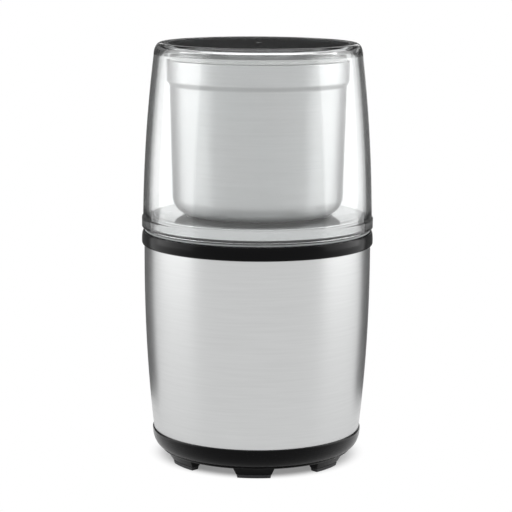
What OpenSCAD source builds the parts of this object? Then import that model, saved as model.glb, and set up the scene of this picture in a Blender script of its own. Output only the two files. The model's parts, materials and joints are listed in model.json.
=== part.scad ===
// Electric spice grinder: a motor base, a lift-out grinding bowl and a clear lid that is pressed to run it.
// Millimetres, +Z up, origin on the ground under the centre of the base, front towards -Y.

/* [Housing] */
// Radius of the steel sleeve at its widest
sleeve_r = 53.3; // [50:0.1:56]
// Radius of the steel sleeve at its lower edge
sleeve_foot_r = 49; // [46:0.1:49.3]
// Power of the sleeve's curve: a higher one keeps it full for longer below its widest height
sleeve_fullness = 2.15; // [1.8:0.05:2.6]
// Thickness of the sleeve's sheet
sleeve_wall = 1; // [0.6:0.1:1.4]
// Height of the sleeve's lower edge
sleeve_z0 = 15.1; // [14:0.1:18]
// Height of the sleeve's upper edge, inside the collar
sleeve_z1 = 104.1; // [103.4:0.1:104.1]
// Height at which the sleeve is widest
sleeve_belly_z = 97; // [90:0.5:102]
// Largest radius of the black collar
collar_r = 54.45; // [54.2:0.05:55]
// Radius of the base pan at its top edge
pan_r = 49.6; // [49:0.1:50.5]
// Radius of the base pan at its bottom edge
pan_foot_r = 45.5; // [44.8:0.1:46]
// Height of the base pan's bottom edge
pan_z0 = 5.2; // [4.8:0.1:6]

/* [Deck] */
// Radius of the steel deck plate
deck_r = 50.4; // [49.8:0.05:50.5]
// Height of the deck plate's top face
deck_z = 117.3; // [116.8:0.1:117.3]
// Height of the band that hangs from the deck plate's edge
band_h = 5; // [3:0.1:5.2]
// Radius of the well that takes the bowl's foot
well_r = 33.5; // [33.3:0.1:33.8]

/* [Lid] */
// Radius of the lid's wall at its foot
lid_foot_r = 53.95; // [53.5:0.05:54.2]
// Radius of the lid's wall just under its rounded shoulder
lid_shoulder_r = 48.8; // [48:0.1:49.6]
// Height of the lid's top face
lid_top_z = 197.5; // [196.5:0.1:200]
// Wall thickness of the lid
lid_wall = 2.6; // [2:0.1:2.8]
// How far the lid goes down when it is pressed
lid_travel = 1.5; // [1:0.1:1.5]

/* [Bowl] */
// Outer radius of the bowl just above its bottom corner
bowl_r0 = 40; // [38:0.1:40.4]
// Outer radius of the bowl just under its step
bowl_r1 = 41.3; // [40.5:0.1:41.6]
// Outer radius of the bowl's mouth above the step
mouth_r = 42.6; // [42:0.1:43]
// Height of the bowl's rim
rim_z = 189.7; // [189:0.1:190]
// Thickness of the bowl's sheet
bowl_wall = 0.8; // [0.6:0.1:1]
// Radius of the bowl's bottom corner
bowl_corner = 8.5; // [7:0.1:9]
// Length of the blade from tip to tip
blade_l = 54; // [44:1:58]
// How far the bowl turns to lock
bowl_twist = 22; // [18:1:24]

/* [Feet] */
// Angle that one foot takes up
foot_arc = 25; // [14:1:26]
// Angle between the front foot and the feet beside it
foot_spread = 54; // [50:0.5:56]

/* [Drive] */
// Diameter of the motor's shaft
motor_shaft_d = 6; // [5:0.5:6]
// Diameter of the blade's shaft
blade_shaft_d = 5; // [4:0.5:5]
// Gap between a shaft and its bearing
running_gap = 0.04; // [0.02:0.01:0.08]
// Number of slots in the armature
armature_slots = 12; // [8:2:14]
// Number of commutator bars
commutator_bars = 24; // [12:2:24]
// Number of blades on the cooling fan
fan_blades = 9; // [7:1:11]

/* [Hidden] */
$fn = 96;
eps = 0.01;

black = [0.05, 0.05, 0.055];
dark = [0.16, 0.16, 0.17];
steel = [0.76, 0.76, 0.75];
bright = [0.85, 0.85, 0.86];
clear = [0.85, 0.9, 0.92, 0.35];
copper = [0.72, 0.42, 0.22];
bronze = [0.66, 0.5, 0.28];
iron = [0.42, 0.42, 0.45];

// ---- Heights shared by parts that meet ----
collar_z0 = 102.9;                        // underside of the collar's floor
collar_edge_z = 103.35;                   // lower edge of the collar's outside, over the sleeve
collar_z1 = 109.5;                        // upper edge of the collar
shelf_z = 104.2;                          // top of the collar's floor, which carries the deck
lip_in_r = 53.4;                          // inside of the collar's lip
skirt_r = 53.1;                           // outside of the lid's skirt, in the groove
skirt_in_r = deck_r + 0.55;               // inside of the lid's skirt
skirt_z = 108.2;                          // lower edge of the lid's skirt
groove_z = skirt_z - 1.8 - lid_travel;    // bottom of the groove that the lid's skirt goes down in
deck_sheet = 0.8;
well_floor_z = 104.8;                     // top of the well's floor
tab_z0 = 110.8;                           // underside of the bayonet tabs
tab_z1 = 113.5;
tab_in_r = 31;
lug_z0 = 107.6;                           // the lugs on the bowl's foot
lug_z1 = 110.4;
lug_arc = 36;
foot_r = 30;                              // skirt of the bowl's foot
bowl_z0 = 117.6;                          // underside of the bowl
bowl_floor_z = bowl_z0 + bowl_wall;
seal_in_r = 38.5;                         // ring seal in the bowl's mouth
seal_out_r = 41.3;
seal_z0 = 188;
seal_z1 = 192.8;
ceiling_z = lid_top_z - 2.5;              // inside top of the lid
panel_z0 = lid_top_z - 1.5;
panel_r = 45.3;
chassis_z0 = 94.5;
chassis_z1 = 97;
pan_ceiling_z = 24;                       // top of the base pan's inner plate
pan_plate = 2;
cavity_r = 43;                            // cord store under the base
spool_r = 20;
spool_flange_r = 30;
foot_n = 7;                               // one foot at the front and a gap for the cord at the back
foot_step = (360 - 2 * foot_spread) / (foot_n - 2);     // the other feet share what is left
foot_angles = concat([-90], [for (i = [0:foot_n - 2]) -90 + foot_spread + i * foot_step]);
pillar_at = 41;                           // distance of the four pillars from the axis
pillar_angles = [for (k = [0, 2, 4, 6]) -90 + (k + 0.5) * 360 / foot_n];    // between the feet
deck_screw_at = 44;
base_screw_at = 38;
spool_screw_at = 9;
hub_screw_at = 12;
gland_at = 35.5;
plunger_at = 42;                          // distance of the plunger's stem from the axis
plunger_stem_r = 2.5;
plunger_z0 = skirt_z - 1.45;              // the plunger's head, under the lid's skirt
plunger_z1 = skirt_z - 0.15;
lever_pivot = 12;                         // distance of the lever's pivot from the stem
lever_z = 90.05;
stator_z0 = 54;
stator_z1 = 78;
bridge_z = 90.5;                          // underside of the top bracket's bridge
stator_half = 28;                         // half width of the stator, along X
mount_at = 34;
bolt_at = 24.9;
bolt_pad_x = 22.2;                        // inner end of the tabs that the motor's bolts go through
bracket_half = 9;                         // half width of the brackets' arms
sheet_t = 2;                              // sheet of the motor's brackets
boss_r = 4.2;                             // the rotor's insulating sleeve, and the couplings' hubs
motor_r = motor_shaft_d / 2;
blade_r = blade_shaft_d / 2;
bush_r = 5.5;                             // bush that carries the blade's shaft in the bowl
bush_z1 = 123.8;
hub_z1 = 127;                             // top of the hub on the bowl's floor
foot_plate_z = 113.6;                     // underside of the plate of the bowl's foot
blade_z = 128.2;                          // underside of the blade
nut_z = blade_z + 1.4;
shaft_top_z = 134;
clip_z = 112.8;                           // clip under the bush, which keeps the blade's shaft up

// Fasteners and cutters
screw_r = 1.5;                            // shank of every screw, and the hole that it cuts its thread in
screw_hole_r = 1.7;                       // clearance hole
screw_head_r = 3;
screw_head_h = 2.2;
cut = 1;                                  // how far a cutter runs past the face that it cuts

// ---- Helpers ----
function arc(cx, cy, rx, ry, a0, a1, n) =
    [for (i = [0:n]) let (a = a0 + (a1 - a0) * i / n) [cx + rx * cos(a), cy + ry * sin(a)]];

function sleeve_at(z) =
    let (away = abs(z - sleeve_belly_z) / (sleeve_belly_z - sleeve_z0))
    sleeve_r - (sleeve_r - sleeve_foot_r) * pow(away, sleeve_fullness);

// The lid's wall is upright at its foot and leans in more and more towards the shoulder
lid_curve_z0 = 107;
lid_curve_z1 = 191.8;
function lid_at(z) =
    lid_foot_r - (lid_foot_r - lid_shoulder_r) * pow((z - lid_curve_z0) / (lid_curve_z1 - lid_curve_z0), 2);

module ring(r_out, r_in, z0, z1) {
    translate([0, 0, z0])
        difference() {
            cylinder(r = r_out, h = z1 - z0);
            translate([0, 0, -cut]) cylinder(r = r_in, h = z1 - z0 + 2 * cut);
        }
}

// Ring sector between two radii, centred on an angle
module sector(r_out, r_in, z0, z1, middle, span) {
    rotate([0, 0, middle - span / 2])
        translate([0, 0, z0])
            rotate_extrude(angle = span)
                translate([r_in, 0]) square([r_out - r_in, z1 - z0]);
}

module post(r, z0, z1) {
    translate([0, 0, z0]) cylinder(r = r, h = z1 - z0);
}

module around(n, distance, start = 0) {
    for (i = [0:n - 1])
        rotate([0, 0, start + i * 360 / n]) translate([distance, 0, 0]) children();
}

module at_pillars(distance) {
    for (a = pillar_angles) rotate([0, 0, a]) translate([distance, 0, 0]) children();
}

module at_feet() {
    for (a = foot_angles) rotate([0, 0, a]) children();
}

// Children laid out along +X are turned to the back of the grinder
module to_back() {
    rotate([0, 0, 90]) children();
}

module slab(x0, x1, y0, y1, z0, z1) {
    translate([x0, y0, z0]) cube([x1 - x0, y1 - y0, z1 - z0]);
}

// Pan-head screw standing on its head, with a hexagon socket
module screw(shank_r, z_head, z_tip, head_r, head_h) {
    difference() {
        union() {
            post(head_r, z_head, z_head + head_h);
            post(shank_r, z_head + head_h - eps, z_tip);
        }
        translate([0, 0, z_head - cut]) cylinder(r = head_r * 0.5, h = cut + head_h * 0.55, $fn = 6);
    }
}

function unit(v) = v / norm(v);

// Round wire along a route: each ring stands square to the route and uses one fixed reference direction
module wire(route, r, sides, reference) {
    n = len(route);
    points = [
        for (i = [0:n - 1])
            let (t = unit(route[min(i + 1, n - 1)] - route[max(i - 1, 0)]))
            let (u = unit(cross(t, reference)))
            let (v = cross(t, u))
            for (k = [0:sides - 1])
                route[i] + r * (cos(k * 360 / sides) * u + sin(k * 360 / sides) * v)
    ];
    walls = [
        for (i = [0:n - 2]) for (k = [0:sides - 1])
            let (k2 = (k + 1) % sides)
            [i * sides + k, (i + 1) * sides + k, (i + 1) * sides + k2, i * sides + k2]
    ];
    start_cap = [[for (k = [0:sides - 1]) k]];
    end_cap = [[for (k = [sides - 1:-1:0]) (n - 1) * sides + k]];
    polyhedron(points = points, faces = concat(walls, start_cap, end_cap), convexity = 6);
}

// Coil spring along Z
module spring(coil_r, wire_r, z0, z1, turns, steps = 14) {
    wire([for (i = [0:turns * steps])
            let (a = i * 360 / steps)
            [coil_r * cos(a), coil_r * sin(a),
             z0 + wire_r + (z1 - z0 - 2 * wire_r) * i / (turns * steps)]],
         wire_r, 8, [0, 0, 1]);
}

// ---- Lid ----
module lid_section() {
    steps = 12;
    skirt_z1 = 111.3;                     // top of the narrower skirt, which goes down in the collar
    bead_x = lid_foot_r - 0.1;            // bead round the lid's foot
    bead_z0 = 113.1;
    bead_z1 = 115.6;
    bead_out = 0.6;
    wall_z0 = 118.4;
    in_z0 = 119;
    in_z1 = 190.5;
    shoulder = 3.5;
    in_corner = 3;
    seat_gap = 0.15;                      // gap over the seal
    difference() {
        polygon(concat(
            [[0, panel_z0 - 0.05], [0, skirt_z], [skirt_r, skirt_z], [skirt_r, skirt_z1]],
            [[lid_foot_r - 0.15, skirt_z1 + 0.5]],
            arc(bead_x, bead_z0, bead_out, 1, -60, 0, 4),
            arc(bead_x, bead_z1, bead_out, 1.6, 0, 60, 4),
            [for (i = [0:steps]) let (z = wall_z0 + (lid_curve_z1 - wall_z0) * i / steps) [lid_at(z), z]],
            arc(lid_shoulder_r - shoulder, lid_curve_z1, shoulder, lid_top_z - lid_curve_z1, 8, 90, 10),
            [[panel_r + 0.05, panel_z0 - 0.05]]
        ));
        polygon(concat(
            [[-cut, skirt_z - cut], [skirt_in_r, skirt_z - cut], [skirt_in_r, in_z0 - 1.6]],
            [for (i = [0:steps]) let (z = in_z0 + (in_z1 - in_z0) * i / steps) [lid_at(z) - lid_wall, z]],
            arc(lid_at(in_z1) - lid_wall - in_corner, in_z1, in_corner, ceiling_z - in_z1, 10, 90, 6),
            [[seal_out_r - 0.1, ceiling_z], [seal_out_r - 0.1, seal_z1 + seat_gap],
             [seal_in_r + 0.1, seal_z1 + seat_gap], [seal_in_r + 0.1, ceiling_z], [-cut, ceiling_z]]
        ));
    }
}

module lid_dome() {
    color(clear) rotate_extrude() lid_section();
}

// The disc is a trace higher in the middle of its top and has the ring mark of its mould's gate there
module lid_top_panel() {
    gate_r = 1.1;
    edge = 0.5;
    rise = 0.1;
    color(dark)
        difference() {
            rotate_extrude()
                polygon(concat([[0, panel_z0], [panel_r, panel_z0]],
                               arc(panel_r - edge, lid_top_z - rise - edge, edge, edge, 0, 90, 4),
                               [[0, lid_top_z - rise]]));
            ring(gate_r + 0.6, gate_r, lid_top_z - 0.5, lid_top_z + cut);
        }
}

module lid_seal() {
    rib_gap_r = 0.45;
    color([0.9, 0.91, 0.9])
        rotate_extrude()
            difference() {
                translate([seal_in_r, seal_z0]) square([seal_out_r - seal_in_r, seal_z1 - seal_z0]);
                for (z = [seal_z0 + 1.4, seal_z1 - 1.4])
                    translate([seal_out_r, z]) circle(r = rib_gap_r, $fn = 24);
            }
}

// ---- Bowl ----
step_z0 = 177.4;
step_z1 = 180.4;

module bowl_section(inset) {
    n = 10;
    corner = bowl_corner - inset;
    rim = 0.4;
    polygon(concat(
        [[0, bowl_z0 + inset], [bowl_r0 - bowl_corner, bowl_z0 + inset]],
        arc(bowl_r0 - bowl_corner, bowl_z0 + bowl_corner, corner, corner, -90, 0, 12),
        [[bowl_r1 - inset, step_z0]],
        [for (i = [1:n])
            let (s = i / n)
            [bowl_r1 - inset + (mouth_r - bowl_r1) * (1 - cos(180 * s)) / 2,
             step_z0 + (step_z1 - step_z0) * s]],
        inset == 0
            ? concat(arc(mouth_r - rim, rim_z - rim, rim, rim, 0, 90, 4), [[0, rim_z]])
            : [[mouth_r - inset, rim_z + cut], [0, rim_z + cut]]
    ));
}

module bowl_shell() {
    color(steel)
        difference() {
            rotate_extrude()
                difference() {
                    bowl_section(0);
                    bowl_section(bowl_wall);
                }
            post(bush_r, bowl_z0 - cut, bowl_floor_z + cut);
            around(3, hub_screw_at, 60) post(screw_r + 0.1, bowl_z0 - cut, bowl_floor_z + cut);
        }
}

// The hub flares out into a round flange, which is screwed to the foot through the bowl's floor
module bowl_hub() {
    flange_r = 16.5;
    flange_z1 = bowl_floor_z + 2.3;
    neck_r = 8;
    flare_r = 11.5;
    color(bright)
        difference() {
            rotate_extrude()
                polygon(concat([[0, bowl_floor_z], [flange_r, bowl_floor_z], [flange_r, flange_z1 - 0.5]],
                               arc(flange_r - 0.5, flange_z1 - 0.5, 0.5, 0.5, 0, 90, 3),
                               [[flare_r, flange_z1 + 0.2]],
                               arc(flare_r, flange_z1 + 2.9, 2.9, 2.7, 270, 190, 6),
                               [[neck_r, hub_z1 - 0.6], [neck_r - 0.6, hub_z1], [0, hub_z1]]));
            post(bush_r, bowl_floor_z - cut, hub_z1 + cut);
            around(3, hub_screw_at, 60) post(screw_r, bowl_floor_z - cut, flange_z1 - 0.4);
        }
}

module bowl_foot() {
    skirt_in = 27.5;
    skirt_z0 = 106.5;
    rib = 0.7;
    color(black)
        difference() {
            union() {
                ring(foot_r, skirt_in, skirt_z0, bowl_z0);
                ring(foot_r - 0.1, bush_r, foot_plate_z, bowl_z0);
                around(3, 0) sector(well_r - 0.6, foot_r - 0.5, lug_z0, lug_z1, 90, lug_arc);
                for (a = [0:30:330]) rotate([0, 0, a])
                    slab(15.5, skirt_in + 0.5, -rib, rib, foot_plate_z - 3.1, foot_plate_z + 0.1);
            }
            post(bush_r, skirt_z0 - cut, bowl_z0 + cut);
            around(3, hub_screw_at, 60) {
                post(screw_r + 0.1, skirt_z0, bowl_z0 + cut);
                post(screw_head_r + 0.1, skirt_z0, foot_plate_z + 1.8);
            }
        }
}

module bowl_bush() {
    color(bronze) ring(bush_r, blade_r + running_gap, foot_plate_z, bush_z1);
}

module bowl_shaft_seal() {
    color(black)
        difference() {
            ring(bush_r, blade_r + running_gap, bush_z1, hub_z1);
            ring(4.6, 3.4, hub_z1 - 1.6, hub_z1 + cut);
        }
}

module bowl_screws() {
    color(bright)
        around(3, hub_screw_at, 60) screw(screw_r, foot_plate_z - 0.2, bowl_floor_z + 1.8, 2.9, 2);
}

// ---- Blade ----
dog_r = 9.7;                              // dog clutch between the motor and the blade
dog_in_r = 4.7;
dog_arc = 28;
coupling_r = 10;
lower_disc_z0 = 105.4;
lower_disc_z1 = 106.6;
upper_disc_z0 = 110.8;
upper_disc_z1 = 112.4;

module blade_shaft() {
    tip = 0.6;
    color(bright)
        difference() {
            rotate_extrude()
                polygon([[0, 108.2], [blade_r, 108.2], [blade_r, shaft_top_z - tip],
                         [blade_r - tip, shaft_top_z], [0, shaft_top_z]]);
            ring(blade_r + cut, blade_r - 0.35, clip_z - 0.05, clip_z + 0.55);
        }
}

// One wing: a flat strip that bends up or down from the hub and is ground to an edge
module blade_wing(tilt) {
    wing_w = 11;
    t = 1.4;
    root = 5;
    wing_l = blade_l / 2 - root;
    bevel = 3;
    translate([root, 0, 0])
        rotate([0, -tilt, 0])
            difference() {
                translate([-0.3, -wing_w / 2, 0]) cube([wing_l, wing_w, t]);
                translate([wing_l - 7, wing_w / 2 + 2.2, -cut])
                    rotate([0, 0, -32]) cube([14, 8, t + 2 * cut]);
                translate([1, -wing_w / 2 - eps, 0])
                    rotate([90, 0, 90])
                        linear_extrude(height = blade_l / 2)
                            polygon([[-1, 0.25], [0, 0.25], [bevel, t + eps], [-1, t + eps]]);
            }
}

module blade() {
    color(bright)
        difference() {
            translate([0, 0, blade_z]) {
                cylinder(r = 6, h = nut_z - blade_z);
                blade_wing(14);
                rotate([0, 0, 180]) blade_wing(-3);
            }
            post(blade_r, blade_z - 2, blade_z + 3);
        }
}

module blade_spacer() {
    color(bright) ring(4.6, blade_r, hub_z1 + 0.4, blade_z);
}

// Domed hexagon nut with a washer face
module blade_nut() {
    hex_r = 4.6;
    hex_z0 = nut_z + 0.6;
    hex_z1 = nut_z + 3.6;
    color(bright)
        difference() {
            union() {
                post(5, nut_z, hex_z0);
                translate([0, 0, hex_z0]) cylinder(r = hex_r, h = hex_z1 - hex_z0, $fn = 6);
                intersection() {
                    translate([0, 0, hex_z1]) sphere(r = 3.8);
                    post(hex_r, hex_z1, hex_z1 + 4);
                }
            }
            post(blade_r, nut_z - cut, shaft_top_z + 0.05);
        }
}

module retaining_clip() {
    mouth = 1.2;
    color(bright)
        difference() {
            ring(4, blade_r - 0.3, clip_z, clip_z + 0.5);
            slab(1, 6, -mouth, mouth, clip_z - cut, clip_z + cut);
        }
}

// Three dogs on each half of the clutch, and each pair has play between them
module upper_coupling() {
    color(black)
        difference() {
            union() {
                post(coupling_r, upper_disc_z0, upper_disc_z1);
                post(boss_r, 108.2, upper_disc_z0 + eps);
                around(3, 0, 60)
                    sector(dog_r, dog_in_r, lower_disc_z1 + 0.4, upper_disc_z0 + eps, 0, dog_arc);
            }
            post(blade_r, lower_disc_z1, upper_disc_z1 + cut);
        }
}

module lower_coupling() {
    color(black)
        difference() {
            union() {
                post(coupling_r, lower_disc_z0, lower_disc_z1);
                post(boss_r, lower_disc_z1 - eps, lower_disc_z1 + 1);
                around(3, 0) sector(dog_r, dog_in_r, lower_disc_z1 - eps, upper_disc_z0 - 0.4, 0, dog_arc);
            }
            post(motor_r, lower_disc_z0 - cut, upper_disc_z0);
        }
}

module bowl_gasket() {
    z0 = tab_z1 + 0.3;
    h = 2.6;
    color(dark)
        rotate_extrude()
            difference() {
                translate([foot_r + 0.35, z0]) square([well_r - foot_r - 0.75, h]);
                translate([well_r - 0.4, z0 + h / 2]) circle(r = 0.6, $fn = 24);
            }
}

// ---- Deck ----
// A shallow groove runs round near the plate's edge, and a band hangs from that edge
module deck_plate() {
    hole_r = well_r + 0.7;
    hole_lip = 0.8;
    z0 = deck_z - band_h;
    edge = 0.9;
    groove_r = deck_r - 1.9;
    color(steel)
        rotate_extrude()
            difference() {
                polygon(concat(
                    [[hole_r, deck_z - 2], [hole_r, deck_z - 0.3], [hole_r + 0.3, deck_z]],
                    [[groove_r - 0.3, deck_z], [groove_r, deck_z - 0.2], [groove_r + 0.3, deck_z]],
                    arc(deck_r - edge, deck_z - edge, edge, edge, 90, 0, 5),
                    [[deck_r, z0 + 0.3], [deck_r - 0.3, z0], [deck_r - 1.4, z0]]
                ));
                polygon([[hole_r + hole_lip, deck_z - 3], [hole_r + hole_lip, deck_z - deck_sheet],
                         [deck_r - deck_sheet - 0.6, deck_z - deck_sheet],
                         [deck_r - deck_sheet, deck_z - 1.4],
                         [deck_r - deck_sheet, z0 - 1], [deck_r - 2, z0 - 1], [hole_r, z0 - 1]]);
            }
}

// The well's floor and wall, the plate that backs the steel, and the ring that stands on the collar
module deck_section() {
    floor_z0 = collar_z0 + 0.1;
    seal_hole_r = 6;
    well_out_r = well_r + 1.9;
    lip_out_r = well_r + 1.55;
    lip_z = deck_z - 2.3;
    under_plate = deck_z - deck_sheet;
    backing_r = deck_r - 1.4;
    foot_z1 = deck_z - band_h - 0.4;
    polygon([
        [seal_hole_r, floor_z0], [well_out_r, floor_z0],
        [well_out_r, deck_web_z], [deck_ring_r, deck_web_z],
        [deck_ring_r, foot_z1 - 2.6], [deck_r - 2, foot_z1 - 2.6], [deck_r - 2, shelf_z], [deck_r, shelf_z],
        [deck_r, foot_z1], [backing_r, foot_z1], [backing_r, under_plate], [lip_out_r, under_plate],
        [lip_out_r, lip_z], [well_r, lip_z], [well_r, well_floor_z], [seal_hole_r, well_floor_z]
    ]);
}

deck_web_z = deck_z - deck_sheet - 2.4;
deck_ring_r = deck_r - 3.4;

// The bowl's lugs drop through the windows between the tabs and turn under them, as far as the stops
module deck() {
    window_arc = lug_arc + 16;
    stop_arc = 5;
    stop_angle = 90 - bowl_twist - lug_arc / 2 - 3.5 - stop_arc / 2;
    boss = 2.9;
    rib = 0.8;
    slot_half = 3.3;                      // slot for the lid switch's plunger
    color(black)
        difference() {
            union() {
                rotate_extrude() deck_section();
                around(3, 0, 60) sector(well_r + 0.8, tab_in_r, tab_z0, tab_z1, 90, 120 - window_arc);
                around(3, 0)
                    sector(well_r + 0.8, tab_in_r + 0.4, lug_z0 - 0.6, tab_z0 + 1, stop_angle, stop_arc);
                around(4, deck_screw_at, 45) post(boss, shelf_z, deck_web_z + 1);
                for (a = [22.5:45:337.5]) rotate([0, 0, a])
                    slab(well_r + 1.1, deck_ring_r + 0.8, -rib, rib, 110, deck_web_z + 1);
            }
            around(4, deck_screw_at, 45) post(screw_r, shelf_z - cut, 112.2);
            to_back() slab(deck_r - 5, deck_r + cut, -slot_half, slot_half, shelf_z - cut, plunger_z1 + 0.5);
        }
}

module deck_shaft_seal() {
    color([0.3, 0.1, 0.08])
        difference() {
            ring(6, motor_r + running_gap, collar_z0 + 0.1, well_floor_z);
            ring(5, 3.8, well_floor_z - 0.8, well_floor_z + cut);
        }
}

// A spigot and a slot hold the sleeve's upper edge, and the groove inside the lip takes the lid's skirt
module collar() {
    spigot_z0 = 97.4;
    spigot_r = sleeve_at(96) - sleeve_wall - 0.25;
    edge_z = collar_edge_z;
    slot_in = 51.7;
    slot_out = sleeve_r + 0.12;
    slot_z1 = sleeve_z1 + 0.1;
    floor_in_r = 37.3;
    groove_in_r = skirt_in_r - 0.2;
    color(black)
        difference() {
            rotate_extrude()
                polygon(concat(
                    [[floor_in_r, collar_z0], [spigot_r - 1.9, collar_z0], [spigot_r - 1.6, spigot_z0]],
                    [[spigot_r, spigot_z0], [slot_in, collar_z0 - 0.1], [slot_in, slot_z1]],
                    [[slot_out, slot_z1], [slot_out, edge_z], [collar_r - 0.6, edge_z]],
                    arc(collar_r - 0.6, edge_z + 1.2, 0.6, 1.2, -60, 0, 3),
                    arc(collar_r - 0.75, collar_z0 + 3.1, 0.75, 3.5, 0, 80, 6),
                    [[lip_in_r + 0.15, collar_z1 - 0.05], [lip_in_r, collar_z1 - 0.25], [lip_in_r, groove_z]],
                    [[groove_in_r, groove_z], [groove_in_r, shelf_z], [floor_in_r, shelf_z]]
                ));
            around(4, deck_screw_at, 45) post(screw_hole_r, spigot_z0, collar_z1);
            to_back() translate([plunger_at, 0, 0]) post(plunger_stem_r + 0.06, spigot_z0, collar_z1);
        }
}

module deck_screws() {
    color(bright)
        around(4, deck_screw_at, 45)
            screw(screw_r, chassis_z0 - screw_head_h, 111.8, screw_head_r, screw_head_h);
}

// ---- Housing ----
module housing_sleeve() {
    n = 12;
    heights = [for (i = [0:n]) sleeve_z0 + (sleeve_z1 - sleeve_z0) * i / n];
    outer = [for (z = heights) [sleeve_at(z), z]];
    inner = [for (i = [n:-1:0]) [sleeve_at(heights[i]) - sleeve_wall, heights[i]]];
    color(steel) rotate_extrude() polygon(concat(outer, inner));
}

// A round plate on four pillars, with ribs on top; the motor hangs under it
module motor_chassis() {
    hole_r = 12.4;
    hub_r = 16;
    plate_r = 47;
    pillar_r = 4.2;
    boss = 3.2;
    rib = 0.9;
    rib_z = chassis_z1 + 2.5;
    guide_r = plunger_stem_r + 0.06;
    color(dark)
        difference() {
            union() {
                ring(plate_r, hole_r, chassis_z0, chassis_z1);
                at_pillars(pillar_at) post(pillar_r, pan_ceiling_z, chassis_z0 + eps);
                at_pillars(base_screw_at) post(3.6, pan_ceiling_z, 44);
                around(4, deck_screw_at, 45) post(boss, chassis_z1 - eps, collar_z0);
                ring(hub_r, hole_r, chassis_z1 - eps, rib_z);
                for (a = [22.5:45:337.5]) rotate([0, 0, a])
                    slab(hub_r - 0.5, plate_r - 1, -rib, rib, chassis_z1 - eps, rib_z);
            }
            at_pillars(base_screw_at) post(screw_r, pan_ceiling_z - cut, 37);
            around(4, deck_screw_at, 45) {
                post(screw_hole_r, 80, collar_z0 + cut);
                post(boss, 80, chassis_z0);
            }
            around(4, mount_at) post(screw_r, bridge_z, chassis_z1 + cut);
            to_back() translate([plunger_at, 0, 0]) {
                post(guide_r, bridge_z, collar_z0);
                post(4.8, chassis_z1, collar_z0);
            }
        }
}

notch_r = 4.5;                            // notch in the rim that lets the mains lead out

module base_pan() {
    plate_z0 = pan_ceiling_z - pan_plate;
    foot_boss_r = 37.2;
    foot_boss_arc = 15;
    spigot_r = sleeve_at(sleeve_z0) - sleeve_wall - 0.3;
    top_edge = 0.5;
    notch_z = 10;
    below = plate_z0 - 10;
    color(black)
        difference() {
            union() {
                rotate_extrude()
                    polygon(concat(
                        [[0, plate_z0], [cavity_r, plate_z0]],
                        [[cavity_r, pan_z0 + 0.6], [cavity_r + 0.6, pan_z0]],
                        [[pan_foot_r - 0.3, pan_z0], [pan_foot_r, pan_z0 + 0.35]],
                        [[pan_foot_r - 0.15, pan_z0 + 0.7]],
                        arc(pan_foot_r - 1.2, sleeve_z0 - 0.9, pan_r - pan_foot_r + 1.2,
                            sleeve_z0 - pan_z0 - 1.6, -72, 0, 9),
                        arc(pan_r - top_edge, sleeve_z0 - top_edge, top_edge, top_edge, 0, 90, 3),
                        [[spigot_r, sleeve_z0], [spigot_r, pan_ceiling_z], [0, pan_ceiling_z]]
                    ));
                at_feet()
                    sector(cavity_r + 0.5, foot_boss_r, pan_z0, plate_z0 + eps, 0, foot_boss_arc);
            }
            at_pillars(base_screw_at) post(screw_hole_r, below, pan_ceiling_z + cut);
            to_back() translate([gland_at, 0, 0]) post(gland_r, below, pan_ceiling_z + cut);
            around(3, spool_screw_at) post(screw_r, below, pan_ceiling_z + cut);
            to_back() slab(cavity_r - 1, pan_r + 10, -notch_r, notch_r, 0, notch_z);
            to_back() translate([cavity_r - 1, 0, notch_z]) rotate([0, 90, 0]) cylinder(r = notch_r, h = 20);
        }
}

foot_pad_h = 1.6;
foot_lower_arc = foot_arc - 2.8;          // of a foot's lower face; its ends slope

// A curved block whose lower face differs from its upper one in radii and in arc
module foot_block(r_out0, r_in0, arc0, z0, r_out1, r_in1, arc1, z1) {
    slice = 0.05;
    hull($fn = 48) {
        sector(r_out0, r_in0, z0, z0 + slice, 0, arc0);
        sector(r_out1, r_in1, z1 - slice, z1, 0, arc1);
    }
}

module feet() {
    color(black)
        at_feet()
            foot_block(42.4, 38, foot_lower_arc, foot_pad_h, 44.6, 36.8, foot_arc, pan_z0);
}

module foot_pads() {
    color(dark)
        at_feet()
            foot_block(42.2, 38.4, foot_lower_arc - 1.2, 0, 42.6, 38.2, foot_lower_arc - 0.4, foot_pad_h);
}

// Drum and flange under the base that the lead is wound on, with a ribbed plate inside
module cord_spool() {
    plate_z0 = pan_ceiling_z - pan_plate;
    flange_z0 = 4;
    flange_t = 2;
    wall = 2.2;
    web_z = 14;
    rib = 0.8;
    color(black)
        difference() {
            union() {
                ring(spool_r, spool_r - wall, flange_z0, plate_z0);
                ring(spool_flange_r, spool_r - 1, flange_z0, flange_z0 + flange_t);
                ring(spool_r - 1, 4, web_z, web_z + 2);
                around(3, spool_screw_at) post(3.6, web_z, plate_z0);
                for (a = [30:60:330]) rotate([0, 0, a])
                    slab(11, spool_r - 1, -rib, rib, web_z - 5, web_z + eps);
            }
            around(3, spool_screw_at) post(screw_r + 0.1, 0, pan_ceiling_z);
            around(6, spool_flange_r + 2, 30) post(5, 0, flange_z0 + flange_t + cut);
        }
}

module spool_screws() {
    color(bright) around(3, spool_screw_at) screw(screw_r, 12, pan_ceiling_z + 3, screw_head_r, 2);
}

module base_screws() {
    z0 = pan_ceiling_z - pan_plate - screw_head_h;
    color(bright) at_pillars(base_screw_at) screw(screw_r, z0, 36.5, screw_head_r + 0.1, screw_head_h);
}

gland_r = 5;

module cord_gland() {
    bore_r = 3.6;
    lip_r = gland_r + 1.6;
    z0 = 20.5;
    color(dark)
        to_back() translate([gland_at, 0, 0]) {
            ring(gland_r, bore_r, z0, 30);
            ring(lip_r, gland_r - 0.1, z0, pan_ceiling_z - pan_plate);
            ring(lip_r, gland_r - 0.1, pan_ceiling_z, pan_ceiling_z + 1.5);
        }
}

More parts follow.
